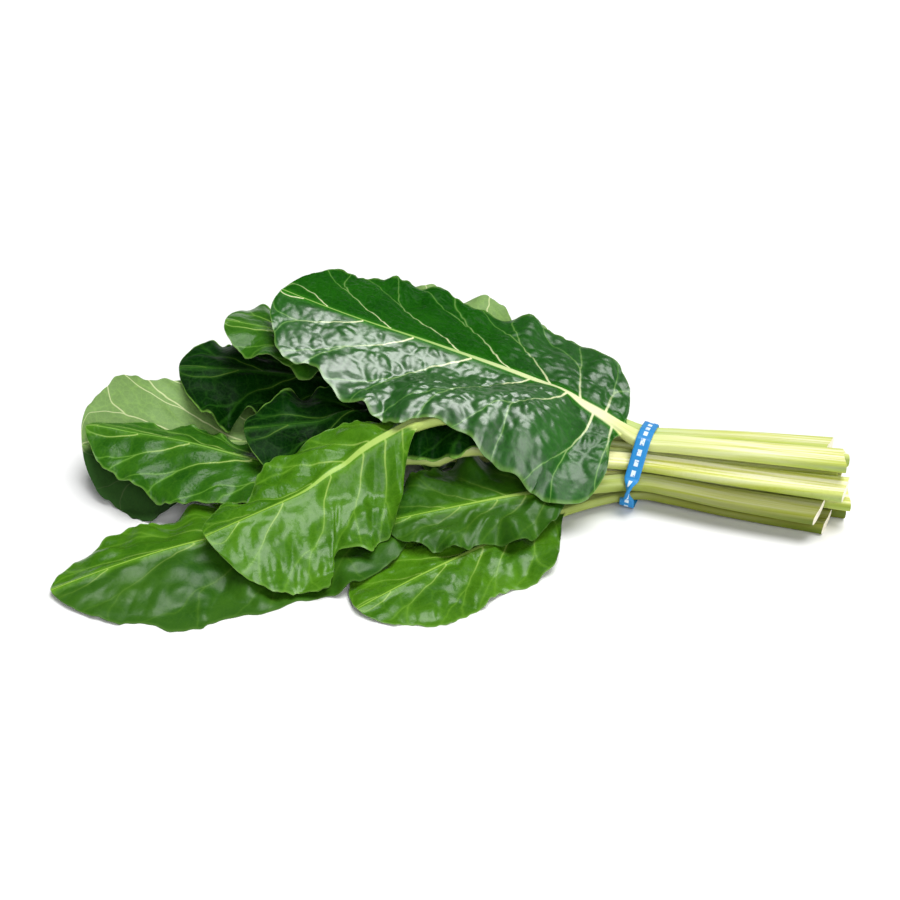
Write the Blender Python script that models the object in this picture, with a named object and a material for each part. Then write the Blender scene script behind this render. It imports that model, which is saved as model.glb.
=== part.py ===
"""A tied bunch of chard, lying on its side: twelve long-stalked leaves in one rubber band.

The bunch lies along X. The cut ends of the stalks are at +X, the leaf tips at -X, the front
of the bunch is -Y and +Z is up. Each leaf is one loft that runs from the cut end of its
stalk, through the band, to the tip of its blade. The leaves are laid one after another, and
each is raised where it would sink into the leaves below it.
"""

import math
from dataclasses import dataclass

import bmesh
import bpy
import numpy as np

MM = 0.001

# The stalks in the band, in millimetres.
STALK_TURN = math.radians(12)     # the stalks point this far to the front of +X
STALK_LENGTH = 128                # from the band to the cut ends
STALK_FAN = 1.50                  # how much wider the bundle is at the cut ends
STALK_SPREAD = 1.18               # and how much taller
STALK_HALF_WIDTH = (9.2, 6.0, 5.6)     # at the cut end, in the band, at the blade
STALK_HALF_DEPTH = (5.7, 5.0, 4.3)
BAND_SPACE = 3.9                  # the band lifts the stalks this far off the table

# The blades, in millimetres.
BLADE_THICKNESS = 0.9
RIB_HALF_WIDTH = (5.6, 0.8)       # at the base and at the tip of the blade
RIB_TAPER = 0.5                   # below 1, the rib narrows fastest at the base
KEEL = (4.6, 0.4)                 # depth of the rib below the blade
RIB_RISE = 0.7
BLEND_LENGTH = 26                 # over which the stalk's section turns into the blade's

# The mesh.
BLADE_STATIONS = 24
NOTCH_WIDTH = 0.065               # by blade length
HALF_COLUMNS = 5
RIB_COLUMN = 1 / HALF_COLUMNS
PATH_SAMPLES = 48

# Laying one leaf on another, in millimetres.
CELL = 3.0
AREA = ((-480, 90), (-260, 240))
CLEARANCE = 1.5
BRIDGE_SLOPE = 0.8                # a leaf comes down from what it lies on no steeper than this
SOFTEN_CELLS = 3
FREE_FROM_BAND = (12, 55)         # the lay starts and is in full effect this far past the band
LAY_PASSES = 3

# The rubber band, in millimetres.
BAND_WIDTH = 9.5
BAND_THICKNESS = 1.0
BAND_CLEARANCE = 0.4
BAND_HEIGHT = 23.0                # of its middle
BAND_SECTIONS = 72
BAND_TURN = math.radians(19)      # the band sits a little askew on the stalks
BAND_LEAN = math.radians(7)
TWIST_WIDTH = 4.4                 # the band bunches up where it turns over
TWIST_THICKNESS = 2.2
TWIST_REACH = 9.0
TWIST_PLACES = (0.26, 0.74)       # share of the way round from the top, by the front

TABLE = 0.0

DARK, LIGHT, PALE = (0.03, 0.13, 0.02), (0.12, 0.28, 0.04), (0.2, 0.31, 0.12)


@dataclass(frozen=True)
class Leaf:
    """One leaf. Lengths are millimetres, angles degrees, and pairs are (near, far) halves."""

    name: str
    slot: tuple            # the stalk's centre in the band: (towards the back, up)
    reach: tuple           # the midrib's points past the band, as (x, y, z)
    blade_from: float      # the blade starts this far past the band
    half_width: tuple      # (near, far)
    near_slope: tuple      # at the blade's base, middle and tip; positive is up
    far_slope: tuple
    curl: tuple = (0, 0)   # how much each half's slope grows from rib to margin
    ruffle: tuple = (6.0, 6.0)     # height of the margin's waves
    wave: float = 54.0     # length of one wave
    phase: float = 0.0
    stalk_more: float = 0.0    # added to the stalk's length
    stalk_roll: float = 0.0    # turn of the stalk about its own line
    cut_slant: float = 0.0     # slope of the cut end
    widest: tuple = (0.33, 0.33)   # where along the blade it is widest
    blunt: tuple = (0.7, 0.7)      # 1 is a pointed half, 0.4 a blunt one
    lobe: tuple = (5, 5)   # how far the blade's base reaches back past the rib's
    sweep: float = 0.16    # how far the side veins lean to the tip, by blade length
    notch: tuple = ((0.5, 0), (0.5, 0))    # where the margin is drawn in, and by what share
    colour: tuple = DARK


LEAVES = (
    Leaf("leaf_01_front_low", (-13, 8.5),
         ((-50, -34, 10), (-94, -68, 9), (-142, -104, 7), (-180, -134, 4)),
         58, (46, 46), (-4, -6, -8), (4, 2, -6), (-8, -12), (6, 5), 46, 0.8, -6, 16, 0.25,
         (0.4, 0.4), (0.6, 0.6), notch=((0.34, 0.2), (0.5, 0)), colour=LIGHT),
    Leaf("leaf_02_front_long", (0, 8.5),
         ((-60, -8, 10), (-125, -26, 12), (-190, -48, 14), (-250, -68, 15), (-303, -88, 13),
          (-366, -116, 4)),
         150, (70, 42), (-6, -14, -6), (4, -2, -4), (-6, -10), (6, 5), 52, 2.1, 4, 0, -0.2,
         (0.4, 0.42), (0.7, 0.75), (20, 5), colour=LIGHT),
    Leaf("leaf_03_back_low", (13, 8.5),
         ((-55, 28, 8), (-115, 56, 6.5), (-175, 86, 6), (-236, 108, 4)),
         80, (54, 54), (8, 4, 0), (-8, -12, -8), (-6, -6), (6, 7), 50, 4.0, -3, -16, 0.2,
         (0.4, 0.4), (0.6, 0.6), notch=((0.5, 0), (0.42, 0.2))),
    Leaf("leaf_04_front_small", (-19.5, 19.4),
         ((-45, -30, 22), (-82, -42, 24), (-126, -54, 22), (-166, -63, 18)),
         44, (38, 44), (-12, -20, -12), (16, 12, 4), (-10, -10), (8, 7), 36, 1.2, -12, 20, 0.3,
         (0.36, 0.36), (0.55, 0.55), colour=LIGHT),
    Leaf("leaf_05_left_raised", (6.5, 19.4),
         ((-80, 12, 19), (-160, 17, 20), (-240, 22, 23), (-310, 22, 25), (-368, 14, 26)),
         150, (68, 46), (-4, -14, -30), (6, 18, 58), (-14, 10), (4, 4), 58, 0.4, 0, -8, 0.2,
         (0.5, 0.62), (0.5, 0.4), colour=PALE),
    Leaf("leaf_06_left", (-6.5, 19.4),
         ((-80, -12, 22), (-190, -20, 24), (-250, -10, 30), (-305, 4, 37), (-364, 16, 38)),
         166, (46, 24), (-12, -20, -18), (10, -10, -20), (-8, 0), (6, 4), 44, 3.3, 6, 8, -0.2,
         (0.45, 0.4), (0.75, 0.7)),
    Leaf("leaf_07_back_dark", (19.5, 19.4),
         ((-60, 36, 26), (-130, 54, 35), (-200, 64, 46), (-260, 67, 53), (-308, 64, 57)),
         110, (62, 54), (-6, -16, -16), (20, 12, 0), (-8, -12), (12, 11), 38, 5.0, -8, -20, 0.25,
         (0.42, 0.4), (0.5, 0.5), notch=((0.62, 0.3), (0.66, 0.3))),
    Leaf("leaf_08_inner_dark", (0, 30.3),
         ((-92, 12, 37), (-161, 14, 45), (-210, 6, 49), (-258, -2, 48)),
         66, (56, 36), (-22, -36, -18), (16, 14, 10), (-8, -6), (7, 11), 36, 1.9, -4, 0, -0.2,
         (0.4, 0.4), (0.5, 0.5)),
    Leaf("leaf_09_front_light", (-13, 30.3),
         ((-60, -13, 35), (-131, -12, 38), (-180, -32, 38), (-230, -66, 34), (-274, -92, 27)),
         146, (71, 34), (-20, -30, -20), (-4, -6, -4), (-10, -8), (6, 4), 54, 2.6, 3, 16, 0.2,
         (0.46, 0.4), (0.7, 0.55), (0, 8), notch=((0.40, 0.34), (0.60, 0.5)), colour=LIGHT),
    Leaf("leaf_10_back_left", (13, 30.3),
         ((-60, 27, 43), (-130, 50, 58), (-200, 66, 74), (-276, 76, 87)),
         96, (40, 50), (-8, -10, -8), (4, 0, -6), (-8, -16), (11, 9), 42, 4.4, 2, -16, -0.25,
         (0.4, 0.4), (0.45, 0.45), notch=((0.6, 0.25), (0.72, 0.3))),
    Leaf("leaf_11_back_top", (6.5, 41.0),
         ((-40, 32, 48), (-84, 60, 60), (-136, 86, 73), (-188, 103, 81)),
         32, (38, 46), (-10, -6, -6), (0, 12, 10), (-8, -10), (9, 8), 42, 0.0, -9, -8, 0.25,
         (0.3, 0.4), (0.6, 0.5), colour=PALE),
    Leaf("leaf_12_top", (-6.5, 43.2),
         ((-30, 10, 55), (-66, 28, 66), (-132, 49, 82), (-190, 64, 96), (-238, 88, 104)),
         12, (82, 67), (-30, -22, -16), (24, 0, 10), (-10, -8), (3, 4), 50, 3.7, 0, 8, -0.2,
         (0.25, 0.48), (0.48, 0.42), (46, 16), 0.12, ((0.7, 0.14), (0, 0.3))),
)


def smooth_step(low, high, value):
    """0 below low, 1 above high, and smooth between."""
    t = np.clip((np.asarray(value, float) - low) / (high - low), 0, 1)
    return t * t * (3 - 2 * t)


def smooth_curve(points, samples):
    """A smooth line through the points, with this many samples for each span."""
    points = np.asarray(points, float)
    chord = np.linalg.norm(np.diff(points, axis=0), axis=1)
    knots = np.concatenate([[0], np.cumsum(np.sqrt(chord))])
    tangents = np.gradient(points, knots, axis=0, edge_order=2)
    line = []
    for i in range(len(points) - 1):
        span = knots[i + 1] - knots[i]
        t = np.linspace(0, 1, samples, endpoint=False)[:, None]
        line.append(
            (2 * t**3 - 3 * t**2 + 1) * points[i]
            + (t**3 - 2 * t**2 + t) * span * tangents[i]
            + (3 * t**2 - 2 * t**3) * points[i + 1]
            + (t**3 - t**2) * span * tangents[i + 1]
        )
    line.append(points[-1:])
    return np.concatenate(line)


def bundle_axes():
    """The stalks' direction at the band, and the way across them towards the back."""
    along = np.array([math.cos(STALK_TURN), -math.sin(STALK_TURN), 0])
    across = np.array([math.sin(STALK_TURN), math.cos(STALK_TURN), 0])
    return along, across


def in_band(slot):
    """The point in the band's plane that a slot names."""
    along, across = bundle_axes()
    return across * slot[0] + np.array([0, 0, slot[1]])


def midrib_points(leaf):
    """The midrib's points, from the cut end through the band to the tip."""
    along, across = bundle_axes()
    centre = in_band(leaf.slot)
    length = STALK_LENGTH + leaf.stalk_more
    cut_end = centre + along * length + across * leaf.slot[0] * (STALK_FAN - 1)
    cut_end[2] = (leaf.slot[1] - BAND_SPACE) * STALK_SPREAD
    middle = centre + along * length * 0.5 + across * leaf.slot[0] * (STALK_FAN - 1) * 0.62
    middle[2] = (leaf.slot[1] + cut_end[2]) / 2
    beside = centre + along * 22 + across * leaf.slot[0] * (STALK_FAN - 1) * 0.12
    return np.array([cut_end, middle, beside, centre, *leaf.reach], float)


class Midrib:
    """A leaf's centre line, with its length measured from the cut end and a frame at each place."""

    def __init__(self, leaf):
        line = smooth_curve(midrib_points(leaf), PATH_SAMPLES)
        step = np.linalg.norm(np.diff(line, axis=0), axis=1)
        self.place = np.concatenate([[0], np.cumsum(step)])
        self.line = line
        self.length = self.place[-1]
        self.band = self.place[3 * PATH_SAMPLES]
        self.blade = self.band + leaf.blade_from
        self.forward = np.gradient(line, self.place, axis=0)
        self.forward /= np.linalg.norm(self.forward, axis=1)[:, None]
        self.side = self.carried_side(np.array([0.0, -1.0, 0.0]))
        roll = np.radians(leaf.stalk_roll) * (1 - smooth_step(self.band, self.blade, self.place))
        up = np.cross(self.forward, self.side)
        self.side = self.side * np.cos(roll)[:, None] - up * np.sin(roll)[:, None]
        self.up = np.cross(self.forward, self.side)

    def carried_side(self, side):
        """The side direction, carried along the line with as little turning as possible."""
        sides = []
        for forward in self.forward:
            side = side - forward * (side @ forward)
            side = side / np.linalg.norm(side)
            sides.append(side)
        return np.array(sides)

    def at(self, place, values):
        """One of this midrib's rows of vectors, read at any places along it."""
        inside = np.clip(place, 0, self.length)
        return np.stack([np.interp(inside, self.place, values[:, i]) for i in range(3)], axis=-1)

    def point(self, place):
        """Points of the line, which runs straight on past both its ends."""
        beyond = place - np.clip(place, 0, self.length)
        return self.at(place, self.line) + self.at(place, self.forward) * beyond[..., None]


def from_ends(values, share):
    """A value that changes evenly from the first to the second."""
    return values[0] + (values[1] - values[0]) * share


def slope_at(slopes, share):
    """The smooth curve through a slope's values at the blade's base, middle and tip."""
    base, middle, tip = slopes
    return (
        base * (1 - share) * (1 - 2 * share)
        + middle * 4 * share * (1 - share)
        + tip * share * (2 * share - 1)
    )


def stations_of(leaf, rib):
    """Where the loft's sections start on the midrib, and how far through the blade each is."""
    before = [0, rib.band / 2, rib.band - 16, rib.band, rib.band + 16]
    gap = rib.blade - before[-1]
    extra = max(0, round(gap / 30) - 1)
    before += [before[-1] + gap * (i + 1) / (extra + 1) for i in range(extra)]
    if before[-1] > rib.blade - 2:
        before.pop()
    even = np.linspace(0, 1, BLADE_STATIONS)
    through = 0.55 * even + 0.45 * (1 - np.cos(np.pi * even)) / 2
    start = rib.blade + (rib.length - rib.blade) * through**1.12
    return (
        np.concatenate([before, start]),
        np.concatenate([np.zeros(len(before)), through]),
    )


def outline(leaf, rib, through, near):
    """The blade's margin for each station: how far along the midrib, and how far out."""
    blade = rib.length - rib.blade
    width = np.where(near, leaf.half_width[0], leaf.half_width[1])
    widest = np.where(near, leaf.widest[0], leaf.widest[1])
    blunt = np.where(near, leaf.blunt[0], leaf.blunt[1])
    lobe = np.where(near, leaf.lobe[0], leaf.lobe[1])
    early = through ** (math.log(0.5) / np.log(widest))
    shape = np.clip(np.sin(np.pi * early), 0, 1) ** blunt
    shape = shape * (1 + 0.045 * np.sin(through * 18 + leaf.phase + 2 * near)
                     + 0.03 * np.sin(through * 33 + 3 * leaf.phase + near))
    for half, (place, depth) in zip((near, ~near), leaf.notch):
        drawn_in = depth * np.exp(-(((through - place) / NOTCH_WIDTH) ** 2))
        shape = shape * (1 - np.where(half, drawn_in, 0))
    along = rib.blade + blade * (through + leaf.sweep * np.sin(np.pi * through))
    along = along - lobe * (1 - smooth_step(0, 0.45, through)) * smooth_step(0, 0.06, through)
    base = RIB_HALF_WIDTH[0] * (1 - through) + 1.4 * through
    return along, base + (width - base) * np.maximum(shape, 0)


def half_section(place, rib):
    """The stalk's half width and half depth at places along the leaf."""
    marks = [0, rib.band, rib.blade]
    return (
        np.interp(place, marks, STALK_HALF_WIDTH),
        np.interp(place, marks, STALK_HALF_DEPTH),
    )


def flat_leaf(leaf, rib, start, through, column):
    """The leaf laid out flat: place along it, distance out, and the skin's rise and drop.

    start and through are one for each station and column runs from -1 at the far margin
    to 1 at the near one.
    """
    start, through = start[:, None], through[:, None]
    column = column[None, :]
    near = column > 0
    margin_along, margin_out = outline(leaf, rib, through, near)
    half_width, half_depth = half_section(start, rib)
    in_rib = from_ends(RIB_HALF_WIDTH, through**RIB_TAPER)
    rib_half = np.where(start < rib.blade, half_width, in_rib)
    into_blade = smooth_step(rib.blade - 4, rib.blade + BLEND_LENGTH, start)

    size = np.abs(column)
    outer = np.clip((size - RIB_COLUMN) / (1 - RIB_COLUMN), 0, 1)
    on_rib = rib_half * np.minimum(size / RIB_COLUMN, 1)
    in_blade = on_rib + (margin_out - rib_half) * outer
    in_stalk = half_width * np.sin(np.pi / 2 * size)
    out = in_stalk + (in_blade - in_stalk) * into_blade
    along = start + (margin_along - start) * outer * into_blade
    along = along + np.where(start <= 0, leaf.cut_slant * out * np.sign(column), 0)

    across = np.clip(out / rib_half, 0, 1)
    round_part = np.sqrt(np.clip(1 - across**2, 0, 1))
    channel = 0.42 * (1 - across**2) ** 2
    stalk_rise = half_depth * (0.85 * np.sqrt(np.clip(1 - across**3, 0, 1)) - channel)
    rise = stalk_rise + (RIB_RISE * (1 - through) * round_part - stalk_rise) * into_blade
    keel = from_ends(KEEL, through**0.7) * round_part
    drop = half_depth * round_part
    drop = drop + (keel - drop) * into_blade
    skin = BLADE_THICKNESS / 2
    return along, out * np.sign(column), rise + skin, drop + skin, into_blade


def bent_leaf(leaf, rib, along, out, rise, drop, into_blade):
    """The flat leaf brought to its shape in space: its upper and its lower skin."""
    blade = rib.length - rib.blade
    share = np.clip((along - rib.blade) / blade, 0, 1)
    near = out > 0
    side = np.where(near, 1.0, -1.0)
    width = np.where(near, leaf.half_width[0], leaf.half_width[1])
    flat = from_ends(RIB_HALF_WIDTH, share**RIB_TAPER)
    flat = np.minimum(np.abs(out), flat)
    over = np.abs(out) - flat

    slope = np.where(near, slope_at(leaf.near_slope, share), slope_at(leaf.far_slope, share))
    slope = np.radians(slope) * into_blade
    curl = np.radians(np.where(near, leaf.curl[0], leaf.curl[1])) * into_blade
    curl = np.where(np.abs(curl) < 1e-3, 1e-3, curl)
    end = slope + curl * over / width
    sideways = flat + width / curl * (np.sin(end) - np.sin(slope))
    height = width / curl * (np.cos(slope) - np.cos(end))

    turn = 2 * np.pi * along / leaf.wave + leaf.phase + 1.9 * near
    wave = np.sin(turn) + 0.45 * np.sin(1.73 * turn + 2 * leaf.phase)
    fade = smooth_step(0, 0.14, share) * (1 - 0.55 * share**4)
    height_of_waves = np.where(near, leaf.ruffle[0], leaf.ruffle[1])
    ripple = height_of_waves * (over / width) ** 2 * wave * fade

    centre = rib.point(along)
    sides, ups = rib.at(along, rib.side), rib.at(along, rib.up)
    tilt = np.where(over > 0, end, 0.0)
    normal = (
        -np.sin(tilt)[..., None] * side[..., None] * sides + np.cos(tilt)[..., None] * ups
    )
    middle = centre + (side * sideways)[..., None] * sides + height[..., None] * ups
    middle = middle + ripple[..., None] * normal
    return middle + rise[..., None] * normal, middle - drop[..., None] * normal


def triangles_of(upper, lower):
    """Corner points of all the loft's skin triangles, for the height maps."""
    found = []
    for skin in (upper, lower):
        a, b, c, d = skin[:-1, :-1], skin[1:, :-1], skin[1:, 1:], skin[:-1, 1:]
        found += [np.stack([a, b, c], axis=2), np.stack([a, c, d], axis=2)]
    return np.concatenate([f.reshape(-1, 3, 3) for f in found])


def spread_points(corners, parts=8):
    """Points spread evenly over each triangle."""
    weights = [
        (i / parts, j / parts, 1 - (i + j) / parts)
        for i in range(parts + 1)
        for j in range(parts + 1 - i)
    ]
    return np.einsum("wk,nkc->nwc", np.array(weights), corners).reshape(-1, 3)


class Pile:
    """The heights of what has been laid so far, on a grid of cells."""

    def __init__(self):
        self.shape = tuple(int((high - low) / CELL) + 1 for low, high in AREA)
        self.top = np.full(self.shape, -np.inf)

    def cell(self, points):
        """The grid cell of each point."""
        index = [
            np.clip(((points[:, k] - AREA[k][0]) / CELL).astype(int), 0, self.shape[k] - 1)
            for k in range(2)
        ]
        return tuple(index)

    def add(self, upper, lower):
        """Counts a leaf as laid."""
        points = spread_points(triangles_of(upper, lower))
        np.maximum.at(self.top, self.cell(points), points[:, 2])

    def shortfall(self, upper, lower):
        """How far each cell of a leaf is below where it would lie clear of the pile."""
        points = spread_points(triangles_of(upper, lower))
        low = np.full(self.shape, np.inf)
        np.minimum.at(low, self.cell(points), points[:, 2])
        both = np.isfinite(low) & np.isfinite(self.top)
        need = np.zeros(self.shape)
        need[both] = np.maximum(self.top[both] + CLEARANCE - low[both], 0)
        return need * self.freedom()

    def freedom(self):
        """0 in the band, where the stalks are held, and 1 where a leaf is free to be raised."""
        x, y = np.meshgrid(
            *[AREA[k][0] + (np.arange(self.shape[k]) + 0.5) * CELL for k in range(2)],
            indexing="ij",
        )
        along, _ = bundle_axes()
        past_band = -(x * along[0] + y * along[1])
        return smooth_step(*FREE_FROM_BAND, past_band)

    def softened(self, need):
        """A smooth field that is nowhere below the need, and falls off at the bridging slope."""
        field = need
        for _ in range(40):
            field = np.maximum(field, highest_near(field, 1) - BRIDGE_SLOPE * CELL)
        field = np.maximum(field, 0)
        field = highest_near(field, SOFTEN_CELLS)
        for _ in range(2):
            field = mean_near(field, SOFTEN_CELLS // 2)
        return field * self.freedom()

    def read(self, field, points):
        """The field's value at each point, between the cells' centres."""
        place = [
            np.clip((points[..., k] - AREA[k][0]) / CELL - 0.5, 0, self.shape[k] - 1.001)
            for k in range(2)
        ]
        i, j = (p.astype(int) for p in place)
        u, v = place[0] - i, place[1] - j
        return (
            field[i, j] * (1 - u) * (1 - v)
            + field[i + 1, j] * u * (1 - v)
            + field[i, j + 1] * (1 - u) * v
            + field[i + 1, j + 1] * u * v
        )


def highest_near(field, cells):
    """The highest value within this many cells, along each axis in turn."""
    for axis in (0, 1):
        padded = np.pad(field, [(cells, cells) if k == axis else (0, 0) for k in (0, 1)], "edge")
        size = field.shape[axis]
        field = np.max(
            [np.take(padded, range(k, k + size), axis=axis) for k in range(2 * cells + 1)], axis=0
        )
    return field


def mean_near(field, cells):
    """The mean within this many cells, along each axis in turn."""
    for axis in (0, 1):
        padded = np.pad(field, [(cells, cells) if k == axis else (0, 0) for k in (0, 1)], "edge")
        size = field.shape[axis]
        field = np.mean(
            [np.take(padded, range(k, k + size), axis=axis) for k in range(2 * cells + 1)], axis=0
        )
    return field


def on_table(upper, lower):
    """The leaf pressed flat where it would go below the table."""
    press = np.maximum(TABLE - lower[..., 2], 0)
    for skin in (upper, lower):
        skin[..., 2] += press
    return upper, lower


def laid_leaf(leaf, pile):
    """The leaf's upper and lower skins where it lies on the pile, and the fields that raised it."""
    rib = Midrib(leaf)
    start, through = stations_of(leaf, rib)
    column = np.linspace(-1, 1, 2 * HALF_COLUMNS + 1)
    upper, lower = bent_leaf(leaf, rib, *flat_leaf(leaf, rib, start, through, column))
    upper, lower = on_table(upper, lower)
    raised = []
    for _ in range(LAY_PASSES):
        need = pile.shortfall(upper, lower)
        if need.max() < CLEARANCE / 4:
            break
        field = pile.softened(need)
        raised.append(field)
        lift_upper, lift_lower = pile.read(field, upper), pile.read(field, lower)
        lift = (lift_upper + lift_lower) / 2
        upper[..., 2] += lift
        lower[..., 2] += lift
    pile.add(upper, lower)
    return upper, lower, raised


def leaf_faces(rows, columns):
    """The loft's triangles, with the same diagonals on both skins, as corner numbers."""
    faces = []

    def corner(row, index):
        return row * 2 * columns + index

    for i in range(rows - 1):
        for j in range(columns - 1):
            a, b, c, d = corner(i, j), corner(i + 1, j), corner(i + 1, j + 1), corner(i, j + 1)
            faces += [(a, c, b), (a, d, c)]
            a, b, c, d = (k + columns for k in (a, b, c, d))
            faces += [(a, b, c), (a, c, d)]
        for j, turned in ((0, False), (columns - 1, True)):
            a, b = corner(i, j), corner(i + 1, j)
            c, d = b + columns, a + columns
            wall = [(a, b, c), (a, c, d)]
            faces += [face[::-1] for face in wall] if turned else wall
    for i, turned in ((0, False), (rows - 1, True)):
        for j in range(columns - 1):
            a, b = corner(i, j), corner(i, j + 1)
            c, d = b + columns, a + columns
            cap = [(a, c, b), (a, d, c)]
            faces += [face[::-1] for face in cap] if turned else cap
    return faces


def mesh_object(name, points, faces, origin, material, parent):
    """A mesh object whose own origin is at the given point."""
    mesh = bpy.data.meshes.new(name)
    solid = bmesh.new()
    corners = [solid.verts.new((point - origin) * MM) for point in points]
    for face in faces:
        solid.faces.new([corners[k] for k in face])
    bmesh.ops.recalc_face_normals(solid, faces=solid.faces)
    solid.to_mesh(mesh)
    solid.free()
    mesh.shade_smooth()
    mesh.set_sharp_from_angle(angle=math.radians(50))
    mesh.materials.append(material)
    made = bpy.data.objects.new(name, mesh)
    made.location = origin * MM
    made.parent = parent
    return made


def band_axes():
    """The directions through the band, across it towards the back, and up."""
    through = np.array([
        math.cos(BAND_TURN) * math.cos(BAND_LEAN),
        -math.sin(BAND_TURN) * math.cos(BAND_LEAN),
        -math.sin(BAND_LEAN),
    ])
    across = np.array([math.sin(BAND_TURN), math.cos(BAND_TURN), 0])
    return through, across, np.cross(through, across)


def outward_hull(points, reach):
    """The convex outline round points in a plane, this far outside them, run round evenly."""
    turn = np.linspace(0, 2 * np.pi, 721)[:-1]
    ways = np.stack([np.sin(turn), np.cos(turn)], axis=1)
    rim = points[(points @ ways.T).argmax(axis=0)] + ways * reach
    rim = np.concatenate([rim, rim[:1]])
    normal = np.concatenate([ways, ways[:1]])
    run = np.concatenate([[0], np.cumsum(np.linalg.norm(np.diff(rim, axis=0), axis=1))])
    return rim, normal, run


def band_sections(stalk_points):
    """The rubber band's cross-sections round the bundle, four corners each, and its corners."""
    along, across, up = band_axes()
    from_middle = np.abs(stalk_points @ along - BAND_HEIGHT * along[2])
    near_band = stalk_points[from_middle < BAND_WIDTH / 2 + 1.5]
    flat = np.stack([near_band @ across, near_band @ up], axis=1)
    # Run from the top, by the front, round underneath and back up.
    flat[:, 0] *= -1
    rim, normal, run = outward_hull(flat, BAND_CLEARANCE)
    sections = []
    for i in range(BAND_SECTIONS):
        place = run[-1] * i / BAND_SECTIONS
        inner = np.array([np.interp(place, run, rim[:, k]) for k in (0, 1)])
        out = np.array([np.interp(place, run, normal[:, k]) for k in (0, 1)])
        out /= np.linalg.norm(out)
        outward = -across * out[0] + up * out[1]
        base = -across * inner[0] + up * inner[1] + along * BAND_HEIGHT * along[2]
        turned, squeezed = 0.0, 0.0
        for share in TWIST_PLACES:
            off = (place - share * run[-1]) / TWIST_REACH
            turned += math.pi * float(smooth_step(-1, 1, off))
            squeezed += max(0.0, 1 - off * off) ** 2
        width = BAND_WIDTH + (TWIST_WIDTH - BAND_WIDTH) * squeezed
        depth = BAND_THICKNESS + (TWIST_THICKNESS - BAND_THICKNESS) * squeezed
        reach = abs(math.sin(turned)) * width / 2 + abs(math.cos(turned)) * depth / 2
        centre = base + outward * reach
        wide = along * math.cos(turned) + outward * math.sin(turned)
        thick = -along * math.sin(turned) + outward * math.cos(turned)
        sections.append(
            [centre + wide * u * width / 2 + thick * v * depth / 2
             for u, v in ((-1, -1), (1, -1), (1, 1), (-1, 1))]
        )
    return np.array(sections)


def ring_faces(sections, corners):
    """The triangles of a closed ring of sections."""
    faces = []
    for i in range(sections):
        following = (i + 1) % sections
        for j in range(corners):
            right = (j + 1) % corners
            a, b = i * corners + j, following * corners + j
            c, d = following * corners + right, i * corners + right
            faces += [(a, b, c), (a, c, d)]
    return faces


def plain_material(name, colour, roughness):
    """A Principled material of one colour."""
    material = bpy.data.materials.new(name)
    material.use_nodes = True
    shader = material.node_tree.nodes["Principled BSDF"]
    shader.inputs["Base Color"].default_value = (*colour, 1)
    shader.inputs["Roughness"].default_value = roughness
    material.diffuse_color = (*colour, 1)
    return material


def clear_scene():
    """Removes the startup objects."""
    for thing in list(bpy.data.objects):
        bpy.data.objects.remove(thing)


def main():
    """Builds the bunch, standing on Z = 0 with its middle over the origin."""
    clear_scene()
    collection = bpy.data.collections.new("chard_bunch")
    bpy.context.scene.collection.children.link(collection)
    bunch = bpy.data.objects.new("bunch", None)
    collection.objects.link(bunch)

    pile = Pile()
    everything, stalks = [], []
    for leaf in LEAVES:
        upper, lower, raised = laid_leaf(leaf, pile)
        print(leaf.name, "raised", round(sum(float(f.max()) for f in raised), 1), "top",
              round(float(upper[..., 2].max()), 1))
        rows, columns = upper.shape[:2]
        points = np.concatenate([upper, lower], axis=1).reshape(-1, 3)
        material = plain_material(leaf.name, leaf.colour, 0.5)
        made = mesh_object(leaf.name, points, leaf_faces(rows, columns), in_band(leaf.slot),
                           material, bunch)
        collection.objects.link(made)
        everything.append(points)
        stalks.append(spread_points(triangles_of(upper[:5], lower[:5]), 12))

    sections = band_sections(np.concatenate(stalks))
    points = sections.reshape(-1, 3)
    band = mesh_object("rubber_band", points, ring_faces(*sections.shape[:2]),
                       points.mean(axis=0), plain_material("rubber_band", (0.02, 0.2, 0.6), 0.5),
                       bunch)
    collection.objects.link(band)
    everything.append(points)

    points = np.concatenate(everything)
    low, high = points.min(axis=0), points.max(axis=0)
    bunch.location = [-(low[0] + high[0]) / 2 * MM, -(low[1] + high[1]) / 2 * MM, -low[2] * MM]
    print("size", np.round(high - low, 1), "lowest", low[2])


main()
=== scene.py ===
"""The looks of a tied bunch of chard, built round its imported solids.

The bunch lies along X: cut stalk ends at +X, leaf tips at -X, front at -Y, up is +Z. Each
leaf is the same loft as its solid, on a much finer grid, with its veins, puckers and ruffled
margin raised in the mesh. The leaves are laid one on another as the solids are, so each fine
leaf lies where its solid does. Lengths are millimetres until a mesh is made.
"""

import logging
import math
from collections.abc import Callable
from dataclasses import dataclass, field
from enum import Enum

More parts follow.
